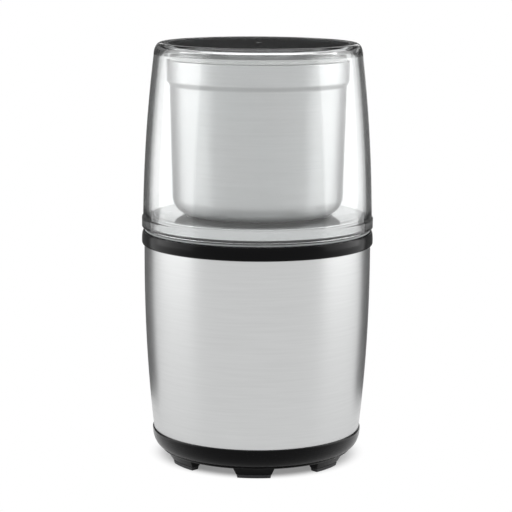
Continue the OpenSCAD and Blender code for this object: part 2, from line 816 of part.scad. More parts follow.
// ---- Motor frame ----
bearing_top_r = 9.5;
bearing_low_r = 8;
bearing_z0 = 95;                          // upper bearing
bearing_z1 = 101;
low_bearing_z0 = 29.5;
low_bearing_z1 = 34.5;
low_plate_z0 = 33;                        // plate of the lower bracket

// One arm at each end of the stator, with a tab that its bolt goes through
module bracket_arms(z0, z1, tab_z) {
    for (s = [0, 180]) rotate([0, 0, s]) {
        slab(stator_half, stator_half + sheet_t, -bracket_half, bracket_half, z0, z1);
        slab(bolt_pad_x, stator_half + eps, -bracket_half, bracket_half, tab_z, tab_z + 1.5);
    }
}

module bolt_holes(r, z0, z1) {
    for (s = [-1, 1]) translate([s * bolt_at, 0, 0]) post(r, z0, z1);
}

module top_bracket() {
    reach = 38;
    half = 11;
    bridge_z1 = bridge_z + sheet_t;
    color(steel)
        difference() {
            union() {
                slab(-reach, reach, -half, half, bridge_z, bridge_z1);
                slab(-half, half, -reach, reach, bridge_z, bridge_z1);
                post(11.6, bridge_z, bearing_z1 + 0.2);
                bracket_arms(70, bridge_z + eps, stator_z1);
            }
            post(bearing_top_r, bearing_z0, bearing_z1 + cut);
            post(motor_r + 1.5, bridge_z - cut, bearing_z1 + cut);
            around(4, mount_at) post(screw_hole_r, bridge_z - cut, bridge_z1 + cut);
            bolt_holes(screw_hole_r, stator_z1 - cut, stator_z1 + 3);
            around(4, 15, 45) post(2.5, bridge_z - cut, bridge_z1 + cut);
        }
}

// Bearing with a shallow groove in each face between its two rings
module bearing(r_out, groove_out, groove_in, z0, z1) {
    groove = 0.4;
    color(bright)
        difference() {
            ring(r_out, motor_r + running_gap, z0, z1);
            ring(groove_out, groove_in, z0 - cut, z0 + groove);
            ring(groove_out, groove_in, z1 - groove, z1 + cut);
        }
}

module top_bearing() {
    bearing(bearing_top_r, 7.6, 5.2, bearing_z0, bearing_z1);
}

module bottom_bearing() {
    bearing(bearing_low_r, 6.6, 4.6, low_bearing_z0, low_bearing_z1);
}

module bottom_bracket() {
    half = 14;
    plate_z1 = low_plate_z0 + sheet_t;
    cup_z0 = low_bearing_z0 - 1;
    color(steel)
        difference() {
            union() {
                slab(-stator_half - sheet_t, stator_half + sheet_t, -half, half, low_plate_z0, plate_z1);
                slab(-half, half, -27, 27, low_plate_z0, plate_z1);
                post(10, cup_z0, low_plate_z0 + eps);
                bracket_arms(plate_z1 - eps, 62, stator_z0 - 1.5);
            }
            post(bearing_low_r, low_bearing_z0, low_bearing_z1 + 0.1);
            post(motor_r + 1.5, cup_z0 - cut, plate_z1 + cut);
            bolt_holes(screw_hole_r, stator_z0 - 4, stator_z0 + 2);
        }
}

bore_r = 15.5;                            // bore of the stator
slot_angle = 53;                          // the slots lie this far to each side of a pole's middle
slot_span = 22;

module stator_core() {
    half_y = 23;
    corner = 9;
    color(iron)
        difference() {
            intersection() {
                slab(-stator_half, stator_half, -half_y, half_y, stator_z0, stator_z1);
                post(norm([stator_half - corner, half_y - corner]) + corner, stator_z0, stator_z1);
            }
            post(bore_r, stator_z0 - cut, stator_z1 + cut);
            for (m = [0, 180]) for (a = [-slot_angle, slot_angle])
                sector(22, bore_r - 0.5, stator_z0 - cut, stator_z1 + cut, m + a, slot_span);
            bolt_holes(screw_r + 0.1, stator_z0 - cut, stator_z1 + cut);
        }
}

// Each coil goes up one slot, over the pole and down the next one
module field_coils() {
    out_r = 21.7;
    in_r = 17.2;
    end_h = 4.5;
    span = 2 * slot_angle + slot_span - 2;
    window = 2 * slot_angle - slot_span + 2;
    color(copper)
        for (m = [0, 180])
            difference() {
                sector(out_r, in_r, stator_z0 - end_h, stator_z1 + end_h, m, span);
                sector(out_r + cut, in_r - cut, stator_z0 - 0.2, stator_z1 + 0.2, m, window);
            }
}

module motor_bolts() {
    hex_r = 2.6;
    head_z1 = stator_z0 - 1.5;
    nut_z0 = stator_z1 + 1.5;
    color(bright)
        for (s = [-1, 1]) translate([s * bolt_at, 0, 0]) {
            post(screw_r, head_z1 - 1.5, nut_z0 + 3.5);
            translate([0, 0, head_z1 - 2.2]) cylinder(r = hex_r, h = 2.2, $fn = 6);
            translate([0, 0, nut_z0]) cylinder(r = hex_r, h = 2.2, $fn = 6);
        }
}

// Rubber grommets between the top bracket and the chassis, with a waist
module motor_mounts() {
    z0 = bridge_z + sheet_t;
    end_r = 4.6;
    waist_r = 3.9;
    color(black)
        around(4, mount_at)
            rotate_extrude()
                polygon([[screw_hole_r, z0], [end_r, z0], [waist_r, (z0 + chassis_z0) / 2],
                         [end_r, chassis_z0], [screw_hole_r, chassis_z0]]);
}

module motor_screws() {
    color(bright) around(4, mount_at) screw(screw_r, bridge_z - 2, chassis_z1 - 0.2, screw_head_r, 2);
}

brush_z = 43;
brush_half = 3;                           // half width of the channel that a brush slides in
brush_out = 18;                           // outer end of a brush, where its spring pushes
holder_out = 24;

module brush_holders() {
    wall = 1.2;
    color(bronze)
        for (a = [90, 270]) rotate([0, 0, a])
            difference() {
                union() {
                    slab(10.2, holder_out + 1, -brush_half - wall, brush_half + wall, 39, 47.4);
                    slab(14, holder_out, -brush_half, brush_half, low_plate_z0 + sheet_t, 39 + eps);
                }
                slab(9, holder_out, -brush_half, brush_half, brush_z - brush_half, brush_z + brush_half);
            }
}

module carbon_brushes() {
    half = brush_half - 0.05;
    color(dark)
        for (a = [90, 270]) rotate([0, 0, a])
            slab(9.7, brush_out, -half, half, brush_z - half, brush_z + half);
}

module brush_springs() {
    coil_r = 2.1;
    wire_r = 0.3;
    color(bright)
        for (a = [90, 270]) rotate([0, 0, a])
            translate([brush_out, 0, brush_z]) rotate([0, 90, 0])
                spring(coil_r, wire_r, 0.05, holder_out - brush_out - 0.1, 5, 12);
}

// ---- Rotor ----
module motor_shaft() {
    color(bright)
        union() {
            post(motor_r, 30, lower_disc_z1 + 1);
            post(boss_r, 37, fan_z0 - 0.6);
        }
}

module armature_core() {
    core_r = bore_r - 0.5;
    slot_r = 1.9;
    mouth = 0.6;
    color(iron)
        difference() {
            post(core_r, stator_z0, stator_z1);
            post(boss_r, stator_z0 - cut, stator_z1 + cut);
            around(armature_slots, core_r - 3) post(slot_r, stator_z0 - cut, stator_z1 + cut);
            around(armature_slots, core_r) slab(-2, 1, -mouth, mouth, stator_z0 - cut, stator_z1 + cut);
        }
}

// The rounded heads of the winding at each end of the core
module armature_winding() {
    head_r = 13.4;
    color(copper) {
        rotate_extrude()
            polygon(concat([[boss_r, stator_z1], [head_r, stator_z1]],
                           arc(head_r - 3, stator_z1 + 1.6, 3, 2.9, 0, 90, 6),
                           [[6.4, stator_z1 + 4.5], [boss_r, stator_z1 + 3.4]]));
        rotate_extrude()
            polygon(concat([[boss_r, stator_z0], [boss_r, stator_z0 - 4.8], [8.4, stator_z0 - 5.4]],
                           arc(head_r - 3.6, stator_z0 - 2.4, 3.6, 3, -90, 0, 6),
                           [[head_r, stator_z0]]));
    }
}

module commutator() {
    bar_z0 = 39;
    bar_z1 = 47.6;
    bar_r = 9.3;
    riser_r = 10;
    gap = 0.2;
    color(copper)
        difference() {
            union() {
                post(bar_r, bar_z0, bar_z1);
                post(riser_r, bar_z1 - 1.2, bar_z1);
            }
            post(boss_r, bar_z0 - cut, bar_z1 + cut);
            around(commutator_bars, bar_r + 0.5) slab(-1.1, cut, -gap, gap, bar_z0 - cut, bar_z1 + cut);
        }
}

fan_z0 = 83.6;

module cooling_fan() {
    hub_r = 6;
    disc_r = 24;
    disc_z1 = fan_z0 + 1.2;
    lean = 14;                            // the blades lean back from the radius
    color(dark)
        difference() {
            union() {
                post(hub_r, fan_z0, fan_z0 + 5.8);
                post(disc_r, fan_z0, disc_z1);
                around(fan_blades, hub_r - 1)
                    rotate([0, 0, lean]) slab(0, 17.8, -0.6, 0.6, disc_z1 - 0.1, fan_z0 + 5.6);
            }
            post(motor_r, fan_z0 - cut, fan_z0 + 8);
        }
}

// ---- Lid switch, laid out along +X and turned to the back ----
flange_z = 101.6;                         // flange on the plunger's stem, over its spring
plunger_foot_z = 93;

module plunger() {
    tip_r = 1.2;
    arm_half = 2.75;
    color([0.85, 0.85, 0.83])
        to_back() {
            translate([plunger_at, 0, 0]) {
                post(plunger_stem_r, plunger_foot_z, plunger_z1);
                translate([0, 0, plunger_foot_z - 1.5]) cylinder(r1 = tip_r, r2 = plunger_stem_r, h = 1.5);
                translate([0, 0, plunger_foot_z - 1.4]) sphere(r = tip_r);
                post(4.2, flange_z, flange_z + 1);
            }
            slab(plunger_at, 51.6, -arm_half, arm_half, plunger_z0, plunger_z1);
            sector(lip_in_r - 0.35, skirt_in_r + 0.1, plunger_z0, plunger_z1, 0, 16);
        }
}

module plunger_spring() {
    color(bright)
        to_back() translate([plunger_at, 0, 0]) spring(3.4, 0.35, chassis_z1 + 0.1, flange_z - 0.15, 3);
}

pin_r = 0.6;                              // pin of the switch's lever

// Snap switch with two cheeks for its lever, a button under the lever and three tags below
module microswitch() {
    half = 3.2;
    cheek = 0.8;
    body_z0 = 77;
    body_z1 = 87;
    color([0.12, 0.12, 0.14])
        to_back()
            translate([plunger_at, 0, 0])
                difference() {
                    union() {
                        slab(-half, half, -15, 6, body_z0, body_z1);
                        for (x = [-half, half - cheek])
                            slab(x, x + cheek, -lever_pivot - 1.6, -lever_pivot + 1.6,
                                 body_z1 - eps, lever_z + 1.4);
                        translate([0, -4, 0]) post(1, body_z1 - eps, body_z1 + 1.5);
                        for (y = [-12, -4.5, 3])
                            slab(-0.4, 0.4, y - 1.6, y + 1.6, body_z0 - 5.5, body_z0 + eps);
                    }
                    translate([-5, -lever_pivot, lever_z]) rotate([0, 90, 0])
                        cylinder(r = pin_r + running_gap, h = 10);
                    for (y = [-9.5, 1.5]) translate([-5, y, body_z0 + 3]) rotate([0, 90, 0])
                        cylinder(r = 1.2, h = 10);
                }
}

module switch_lever() {
    half = 2;
    t = 0.25;
    pin_half = 3.2;
    color(bright)
        to_back()
            translate([plunger_at, 0, 0]) {
                slab(-half, half, -lever_pivot, 2.4, lever_z - t, lever_z + t);
                translate([-pin_half, -lever_pivot, lever_z]) rotate([0, 90, 0])
                    cylinder(r = pin_r, h = 2 * pin_half);
            }
}

// ---- Wiring ----
module terminal_block() {
    at = -33;
    half_x = 6;
    half_y = 11;
    h = 9;
    pitch = 7;
    color([0.9, 0.88, 0.8])
        translate([at, 0, pan_ceiling_z])
            difference() {
                slab(-half_x, half_x, -half_y, half_y, 0, h);
                for (y = [-pitch, 0, pitch]) translate([0, y, 0]) {
                    translate([-half_x - cut, 0, 4]) rotate([0, 90, 0]) cylinder(r = 1.6, h = 14);
                    post(1.8, 5, h + cut);
                }
            }
}

module suppression_capacitor() {
    at = 33;
    body_z0 = 1.5;
    color([0.2, 0.32, 0.5])
        translate([at, 0, pan_ceiling_z]) {
            slab(-5, 5, -9, 9, body_z0, body_z0 + 6);
            for (y = [-7, 7]) translate([0, y, 0]) post(0.5, 0, body_z0 + eps);
        }
}

// A small tube with a lead out of each end, lying on the winding
module thermal_fuse() {
    body_l = 10;
    lead_l = 16;
    color([0.85, 0.8, 0.7])
        translate([0, -20.6, 80.2]) rotate([0, 90, 0]) {
            translate([0, 0, -body_l / 2]) cylinder(r = 1.5, h = body_l);
            translate([0, 0, -lead_l / 2]) cylinder(r = 0.5, h = lead_l);
        }
}

blue = [0.15, 0.25, 0.6];
brown = [0.45, 0.25, 0.12];
lead_r = 1;

// Leads run up the inside of the sleeve; each one lies in an upright plane through the axis
module lead(angle, route, tint) {
    color(tint)
        rotate([0, 0, angle]) wire([for (p = route) [p[0], 0, p[1]]], lead_r, 8, [0, 1, 0]);
}

// Two of the leads go over the stator's edge to the ends of the field coils
module internal_wiring() {
    to_coil = [[37.5, 68], [34.5, 75.5], [31.5, 80], [28, 82], [24.5, 81.2], [22.1, 80.6]];
    lead(161, [[38.5, 30], [40, 31], [42, 33], [43.5, 38], [44, 48], [44, 58],
               [43.5, 66], [42.5, 72], [41, 76]], blue);
    lead(202, concat([[38, 30], [40, 31], [41.5, 33], [42, 40], [42, 50], [41, 60]], to_coil), brown);
    lead(338, concat([[37.5, 32.5], [40, 34], [41, 40], [41, 50], [40, 60]], to_coil), blue);
    lead(75, [[27, 37], [30, 37.5], [34, 40], [38, 46], [41, 54], [42, 62], [42, 70]], brown);
}

lid_dome();
lid_top_panel();
lid_seal();
bowl_shell();
bowl_hub();
bowl_foot();
bowl_bush();
bowl_shaft_seal();
bowl_screws();
blade_shaft();
blade();
blade_spacer();
blade_nut();
retaining_clip();
upper_coupling();
bowl_gasket();
deck_plate();
deck();
deck_shaft_seal();
collar();
deck_screws();
housing_sleeve();
motor_chassis();
base_pan();
feet();
foot_pads();
cord_spool();
spool_screws();
base_screws();
cord_gland();
top_bracket();
bottom_bracket();
top_bearing();
bottom_bearing();
stator_core();
field_coils();
motor_bolts();
motor_mounts();
motor_screws();
brush_holders();
carbon_brushes();
brush_springs();
motor_shaft();
armature_core();
armature_winding();
commutator();
cooling_fan();
lower_coupling();
plunger();
plunger_spring();
microswitch();
switch_lever();
terminal_block();
suppression_capacitor();
thermal_fuse();
internal_wiring();
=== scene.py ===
"""Electric spice grinder: every surface's finish, finer shapes for what shows, and a plain studio.

Lengths are in millimetres, which MM turns to metres. Only the studio is in metres. The grinder stands on
z = 0 with its front towards -Y.
"""
import json
import math

import bpy
from mathutils import Matrix, Vector


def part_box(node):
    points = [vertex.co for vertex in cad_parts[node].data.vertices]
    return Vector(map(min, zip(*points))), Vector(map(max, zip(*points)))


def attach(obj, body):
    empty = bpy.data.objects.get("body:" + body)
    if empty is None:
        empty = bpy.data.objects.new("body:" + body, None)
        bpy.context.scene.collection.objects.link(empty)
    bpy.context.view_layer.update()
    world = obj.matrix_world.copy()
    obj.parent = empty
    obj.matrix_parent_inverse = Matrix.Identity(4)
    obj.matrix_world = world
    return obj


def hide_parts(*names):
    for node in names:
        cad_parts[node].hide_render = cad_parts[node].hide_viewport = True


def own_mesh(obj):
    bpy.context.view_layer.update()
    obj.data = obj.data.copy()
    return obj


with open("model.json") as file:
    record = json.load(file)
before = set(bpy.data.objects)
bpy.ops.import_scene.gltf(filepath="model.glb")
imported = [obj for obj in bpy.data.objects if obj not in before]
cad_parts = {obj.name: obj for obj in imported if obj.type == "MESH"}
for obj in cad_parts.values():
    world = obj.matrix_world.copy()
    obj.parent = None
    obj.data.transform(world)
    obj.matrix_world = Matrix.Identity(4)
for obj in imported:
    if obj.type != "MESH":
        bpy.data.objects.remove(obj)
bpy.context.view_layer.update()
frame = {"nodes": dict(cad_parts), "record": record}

MM = 0.001
TURN = 2 * math.pi
FINE = 256                      # steps round the large turned pieces
MEDIUM = 128                    # steps round the small ones


# ---- Sizes that the frame gives, in millimetres ----
def foot(node):
    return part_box(node)[0].z / MM


def top(node):
    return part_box(node)[1].z / MM


def reach(node):
    """Radius of a round node."""
    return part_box(node)[1].x / MM


# ---- Camera ----
LENS = 138.68                   # mm, on a sensor 36 mm wide
SENSOR = 36
CAMERA_OUT = 920                # distance from the grinder's axis
CAMERA_UP = 255.3
CAMERA_DOWN = 9.78              # degrees that it looks down by
CAMERA_ROLL = 0.34              # degrees; the grinder leans a trace to the right
CAMERA_ROUND = 1.35             # degrees that it stands to the right of the front
NEAREST = 50                    # it shows nothing nearer or farther than these
FARTHEST = 20000
FRAME_PX = 512
AXIS_PX = 257.3                 # column that the axis stands in


def add_camera():
    data = bpy.data.cameras.new("camera")
    data.lens = LENS
    data.sensor_width = SENSOR
    data.shift_x = (FRAME_PX / 2 - AXIS_PX) / FRAME_PX
    data.clip_start = NEAREST * MM
    data.clip_end = FARTHEST * MM
    camera = bpy.data.objects.new("camera", data)
    bpy.context.collection.objects.link(camera)
    turn = math.radians(CAMERA_ROUND)
    place = Vector((CAMERA_OUT * math.sin(turn), -CAMERA_OUT * math.cos(turn), CAMERA_UP)) * MM
    camera.matrix_world = (Matrix.Translation(place) @ Matrix.Rotation(turn, 4, "Z")
                           @ Matrix.Rotation(math.radians(90 - CAMERA_DOWN), 4, "X")
                           @ Matrix.Rotation(math.radians(CAMERA_ROLL), 4, "Z"))
    bpy.context.scene.camera = camera


# ---- Nodes and colours ----
def linear(code):
    """A hex sRGB colour as the linear RGBA that a shader takes."""
    channels = [int(code[i:i + 2], 16) / 255 for i in (0, 2, 4)]
    return tuple(c / 12.92 if c <= 0.04045 else ((c + 0.055) / 1.055) ** 2.4 for c in channels) + (1,)


def clear_tree(owner):
    """The node tree of a material or a world, with nothing in it."""
    owner.use_nodes = True
    owner.node_tree.nodes.clear()
    return owner.node_tree


def add_node(tree, kind, inputs=None, **settings):
    """Adds a node and sets its properties. Each input gets a value, or a link from another node's socket."""
    node = tree.nodes.new(kind)
    for name, value in settings.items():
        setattr(node, name, value)
    for key, value in (inputs or {}).items():
        if isinstance(value, bpy.types.NodeSocket):
            tree.links.new(value, node.inputs[key])
        else:
            node.inputs[key].default_value = value
    return node


# ---- Patterns in the grinder's own coordinates; each gives a function that draws it in a material ----
def cloud(size, detail=2):
    """Even noise with features about size mm across."""
    def draw(tree):
        place = add_node(tree, "ShaderNodeTexCoord")
        noise = add_node(tree, "ShaderNodeTexNoise",
                         {"Vector": place.outputs["Object"], "Scale": 1 / (size * MM), "Detail": detail})
        return noise.outputs[0]
    return draw


def rings(pitch, streak):
    """Noise drawn out round the upright axis: lines about pitch mm apart, each about streak mm long."""
    def draw(tree):
        place = add_node(tree, "ShaderNodeTexCoord")
        level = add_node(tree, "ShaderNodeVectorMath", {0: place.outputs["Object"], 1: (1, 1, 0)},
                         operation="MULTIPLY")
        radius = add_node(tree, "ShaderNodeVectorMath", {0: level.outputs["Vector"]}, operation="LENGTH")
        height = add_node(tree, "ShaderNodeSeparateXYZ", {"Vector": place.outputs["Object"]})
        across = add_node(tree, "ShaderNodeMath", {0: radius.outputs["Value"], 1: 1 / (pitch * MM)},
                          operation="MULTIPLY")
        up = add_node(tree, "ShaderNodeMath", {0: height.outputs["Z"], 1: 1 / (pitch * MM)},
                      operation="MULTIPLY")
        along = add_node(tree, "ShaderNodeVectorMath",
                         {0: level.outputs["Vector"], "Scale": 1 / (streak * MM)}, operation="SCALE")
        apart = add_node(tree, "ShaderNodeSeparateXYZ", {"Vector": along.outputs["Vector"]})
        where = add_node(tree, "ShaderNodeCombineXYZ",
                         {"X": across.outputs["Value"], "Y": apart.outputs["X"], "Z": apart.outputs["Y"]})
        noise = add_node(tree, "ShaderNodeTexNoise",
                         {"Vector": where.outputs["Vector"], "W": up.outputs["Value"], "Scale": 1,
                          "Detail": 3}, noise_dimensions="4D")
        return noise.outputs[0]
    return draw


def scratches(pitch, streak):
    """Noise drawn out along X, for a strip that was ground from end to end."""
    def draw(tree):
        place = add_node(tree, "ShaderNodeTexCoord")
        scale = (1 / (streak * MM), 1 / (pitch * MM), 1 / (pitch * MM))
        where = add_node(tree, "ShaderNodeMapping", {"Vector": place.outputs["Object"], "Scale": scale})
        noise = add_node(tree, "ShaderNodeTexNoise",
                         {"Vector": where.outputs["Vector"], "Scale": 1, "Detail": 2})
        return noise.outputs[0]
    return draw


def stripes(pitch, direction, waver):
    """Soft stripes pitch mm apart, crossing the given direction."""
    def draw(tree):
        place = add_node(tree, "ShaderNodeTexCoord")
        wave_unit = math.pi / 10           # the texture repeats after this length at a scale of 1
        wave = add_node(tree, "ShaderNodeTexWave",
                        {"Vector": place.outputs["Object"], "Scale": wave_unit / (pitch * MM),
                         "Distortion": waver, "Detail": 1}, bands_direction=direction)
        return wave.outputs["Fac"]
    return draw


ROUGH_FROM = 0.3                # the roughness changes between these values of the pattern
ROUGH_TO = 0.7


def make_finish(name, tone, colours, roughness, depth, skin=None, **uniform):
    """A material with one Principled shader. The pattern tone takes the colour and the roughness from the
    first to the second of their pair. The pattern skin, or else tone, is pressed in by depth, in mm."""
    material = bpy.data.materials.new(name)
    tree = clear_tree(material)
    factor = tone(tree)
    height = skin(tree) if skin else factor
    # A Mix node's colours are its sockets 6 and 7, and their mixture is its output 2
    colour = add_node(tree, "ShaderNodeMix", {0: factor, 6: linear(colours[0]), 7: linear(colours[1])},
                      data_type="RGBA")
    gloss = add_node(tree, "ShaderNodeMapRange",
                     {"Value": factor, "From Min": ROUGH_FROM, "From Max": ROUGH_TO,
                      "To Min": roughness[0], "To Max": roughness[1]})
    bump = add_node(tree, "ShaderNodeBump", {"Strength": 1, "Distance": depth * MM, "Height": height})
    inputs = {key.replace("_", " "): value for key, value in uniform.items()}
    inputs["Base Color"] = colour.outputs[2]
    inputs["Roughness"] = gloss.outputs["Result"]
    inputs["Normal"] = bump.outputs["Normal"]
    shader = add_node(tree, "ShaderNodeBsdfPrincipled", inputs)
    add_node(tree, "ShaderNodeOutputMaterial", {"Surface": shader.outputs["BSDF"]})
    return material


# ---- Metals ----
ACROSS_LINES = 0.25             # turn of the gloss, so that it smears across lines that run round the axis


def sleeve_steel():
    """Stainless sheet brushed round the body: soft upright bands of light over faint level streaks. Real
    brush lines are about 0.05 mm wide. Here and on the other brushed parts they are drawn as wide as they
    need to be to show."""
    return make_finish("stainless_brushed_sleeve", rings(pitch=0.9, streak=24),
                       colours=("C2C3C3", "CDCECE"), roughness=(0.37, 0.31), depth=0.004,
                       Metallic=1, Anisotropic=0.55, Anisotropic_Rotation=ACROSS_LINES)


def bowl_steel():
    """Stainless sheet, drawn and then brushed round: duller than the sleeve, with softer bands of light."""
    return make_finish("stainless_brushed_bowl", rings(pitch=0.8, streak=30),
                       colours=("C9CACA", "D2D3D3"), roughness=(0.48, 0.42), depth=0.003,
                       Metallic=1, Anisotropic=0.5, Anisotropic_Rotation=ACROSS_LINES)


def deck_steel():
    """Stainless sheet, brushed round the deck's band: an even, pale strip."""
    return make_finish("stainless_brushed_deck", rings(pitch=0.5, streak=60),
                       colours=("C3C4C4", "CDCECE"), roughness=(0.28, 0.22), depth=0.002,
                       Metallic=1, Anisotropic=0.4, Anisotropic_Rotation=ACROSS_LINES)


def deck_mirror_painted_shade():
    """The same sheet, polished on top to mirror the bowl's dark underside; its darker colour is painted
    shade.
    """
    return make_finish("stainless_polished_deck_painted_shade", rings(pitch=0.5, streak=60),
                       colours=("A6A7A7", "B2B3B3"), roughness=(0.05, 0.03), depth=0.0005, Metallic=1)


def blade_steel():
    """Hardened stainless steel, ground along the strip: bright, with straight scratches."""
    return make_finish("stainless_ground_blade", scratches(pitch=0.3, streak=12),
                       colours=("B9BABC", "DADBDC"), roughness=(0.3, 0.18), depth=0.006, Metallic=1)


def bright_steel():
    """Steel, turned and polished: clear reflections over faint turning marks."""
    return make_finish("steel_turned", rings(pitch=0.4, streak=40),
                       colours=("B4B5B7", "CFD0D1"), roughness=(0.28, 0.2), depth=0.003, Metallic=1)


def zinc_steel():
    """Zinc plated sheet steel: pale and slightly blue, with the cloudy bloom of the plating."""
    return make_finish("steel_zinc_plated", cloud(6, detail=4), skin=cloud(0.6),
                       colours=("A9AFB4", "C6CBCF"), roughness=(0.42, 0.3), depth=0.006, Metallic=1)


def bronze():
    """Sintered bronze and stamped brass: warm, dull and faintly pitted."""
    return make_finish("bronze_sintered", cloud(0.35, detail=4),
                       colours=("8E6B35", "B8924F"), roughness=(0.5, 0.36), depth=0.02, Metallic=1)


def copper_wire():
    """Enamelled copper wire, wound: orange brown ridges about a millimetre apart under clear lacquer. The
    real wire is 0.4 mm thick, too fine to show."""
    return make_finish("copper_enamelled_winding", stripes(pitch=1, direction="DIAGONAL", waver=1.5),
                       colours=("6B2F17", "B4602F"), roughness=(0.4, 0.3), depth=0.1,
                       Metallic=0.8, Coat_Weight=0.6, Coat_Roughness=0.15)


def copper_bar():
    """Turned copper: bright pink brown with lathe lines, as a commutator's bars have."""
    return make_finish("copper_turned", rings(pitch=0.3, streak=30),
                       colours=("B06A48", "D68F6C"), roughness=(0.34, 0.22), depth=0.006, Metallic=1)


def core_iron():
    """Stacked sheets of silicon steel: grey with fine level lines at the edges. The real sheets are 0.5 mm
    thick, too fine to show."""
    return make_finish("steel_laminations", stripes(pitch=1, direction="Z", waver=0.4),
                       colours=("4A4B4E", "74757A"), roughness=(0.56, 0.42), depth=0.04, Metallic=0.9)


# ---- Plastics and rubber ----
DIM = (0.15, 0.15, 0.15, 1)     # holds a gloss back where it is looked at squarely, not at a glance along it


def black_gloss():
    """ABS from a polished tool: nearly a black mirror, rippled a little by shrinkage."""
    return make_finish("abs_black_polished", cloud(14, detail=3), skin=cloud(9),
                       colours=("040405", "060607"), roughness=(0.16, 0.22), depth=0.004,
                       IOR=1.5, Specular_Tint=DIM)


def black_base():
    """ABS with a soft gloss: black that greys where it faces the table."""
    return make_finish("abs_black_soft_gloss", cloud(14, detail=3), skin=cloud(1.2, detail=3),
                       colours=("050506", "080809"), roughness=(0.18, 0.24), depth=0.006,
                       IOR=1.5, Specular_Tint=DIM)


def black_satin():
    """Glass filled nylon from a lightly etched tool: dark and matt."""
    return make_finish("nylon_black_etched", cloud(14, detail=3), skin=cloud(0.5, detail=3),
                       colours=("131415", "1B1C1E"), roughness=(0.47, 0.53), depth=0.02, IOR=1.53)


def smoked_face():
    """Polycarbonate with a smoked top face, polished: a dark mirror at a glance along it, and a dim window
    from above."""
    return make_finish("polycarbonate_smoked", cloud(30),
                       colours=("4A4B4C", "545556"), roughness=(0.03, 0.06), depth=0.002,
                       IOR=1.58, Transmission_Weight=1)


def white_plastic():
    """Natural polyamide: warm off-white, satin."""
    return make_finish("nylon_natural", cloud(14, detail=3), skin=cloud(0.8, detail=3),
                       colours=("CBC6B6", "D9D5C8"), roughness=(0.39, 0.45), depth=0.01, IOR=1.53)


def blue_case():
    """Epoxy filled case: blue with a slightly uneven, glossy skin."""
    return make_finish("epoxy_blue", cloud(14, detail=3), skin=cloud(3, detail=3),
                       colours=("1A3767", "24467F"), roughness=(0.25, 0.31), depth=0.02, IOR=1.55)


def black_rubber():
    """Moulded rubber: matt black with a fine grain and a dusty bloom at grazing angles."""
    return make_finish("rubber_black", cloud(10, detail=3), skin=cloud(0.35, detail=3),
                       colours=("343436", "3E3E40"), roughness=(0.6, 0.7), depth=0.02,
                       Specular_IOR_Level=0.3, Sheen_Weight=0.1, Sheen_Roughness=0.5)


def wire_sleeve():
    """Vinyl on the leads: dark blue, with a waxy skin."""
    return make_finish("vinyl_wire_sleeve", cloud(14, detail=3), skin=cloud(1.5, detail=3),
                       colours=("1F3566", "2C4A86"), roughness=(0.42, 0.48), depth=0.01, IOR=1.53)


def white_silicone():
    """Translucent silicone: white that light soaks into, with a satin skin."""
    soak = 2 * MM
    return make_finish("silicone_translucent", cloud(8, detail=3), skin=cloud(1.2, detail=3),
                       colours=("E9EAE9", "F3F4F3"), roughness=(0.35, 0.41), depth=0.01,
                       IOR=1.41, Subsurface_Weight=0.35, Subsurface_Radius=(soak, soak, soak))


def carbon():
    """Pressed carbon: dull black with a metallic glint of graphite."""
    return make_finish("carbon_pressed", cloud(0.3, detail=4),
                       colours=("1B1B1D", "3A3A3D"), roughness=(0.62, 0.45), depth=0.02, Metallic=0.25)


def skirt_painted_highlight():
    """The lid's SAN in a pale, half clear line round the skirt, just over the collar: a painted highlight."""
    return make_finish("san_painted_highlight_line", cloud(4),
                       colours=("B0B4B4", "BCC0C0"), roughness=(0.5, 0.56), depth=0.01,
                       IOR=1.55, Transmission_Weight=0.4)


def clear_lid():
    """Clear SAN, moulded and polished: glass-like, with grey lines where its wall is seen edge on."""
    return make_finish("san_clear", cloud(25),
                       colours=("FCFEFE", "FFFFFF"), roughness=(0.05, 0.075), depth=0.002,
                       IOR=1.55, Transmission_Weight=1)


# ---- Modelling ----
ROUND_OVER = 32                 # degrees; an edge that turns by more is rounded
SMOOTH_UNDER = 42               # degrees; an edge that turns by less is shaded smooth
MERGE_WITHIN = 0.0005


def deselect():
    if bpy.context.object and bpy.context.object.mode != "OBJECT":
        bpy.ops.object.mode_set(mode="OBJECT")
    bpy.ops.object.select_all(action="DESELECT")


def pick(piece):
    """Makes a piece the only one selected, and the active one."""
    deselect()
    piece.select_set(True)
    bpy.context.view_layer.objects.active = piece


def edit_all(piece):
    """Goes into edit mode with the whole piece selected."""
    pick(piece)
    bpy.ops.object.mode_set(mode="EDIT")
    bpy.ops.mesh.select_all(action="SELECT")


def set_name(piece, name):
    piece.name = name
    piece.data.name = name


def apply_modifier(piece, kind, **settings):
    modifier = piece.modifiers.new(kind.lower(), kind)
    for name, value in settings.items():
        setattr(modifier, name, value)
    pick(piece)
    bpy.ops.object.modifier_apply(modifier=modifier.name)


def rounded(piece, radius, segments=2, limit=ROUND_OVER):
    """Rounds each edge that turns by more than the limit, in degrees."""
    apply_modifier(piece, "BEVEL", width=radius * MM, segments=segments, limit_method="ANGLE",
                   angle_limit=math.radians(limit))


def smooth(piece):
    """Smooth shading that leaves flat faces flat beside their rounded edges."""
    pick(piece)
    bpy.ops.object.shade_smooth_by_angle(angle=math.radians(SMOOTH_UNDER))
    apply_modifier(piece, "WEIGHTED_NORMAL", keep_sharp=True)


def close_up(piece):
    """Merges what coincides and turns every face outwards."""
    edit_all(piece)
    bpy.ops.mesh.remove_doubles(threshold=MERGE_WITHIN * MM)
    bpy.ops.mesh.normals_make_consistent(inside=False)
    bpy.ops.object.mode_set(mode="OBJECT")


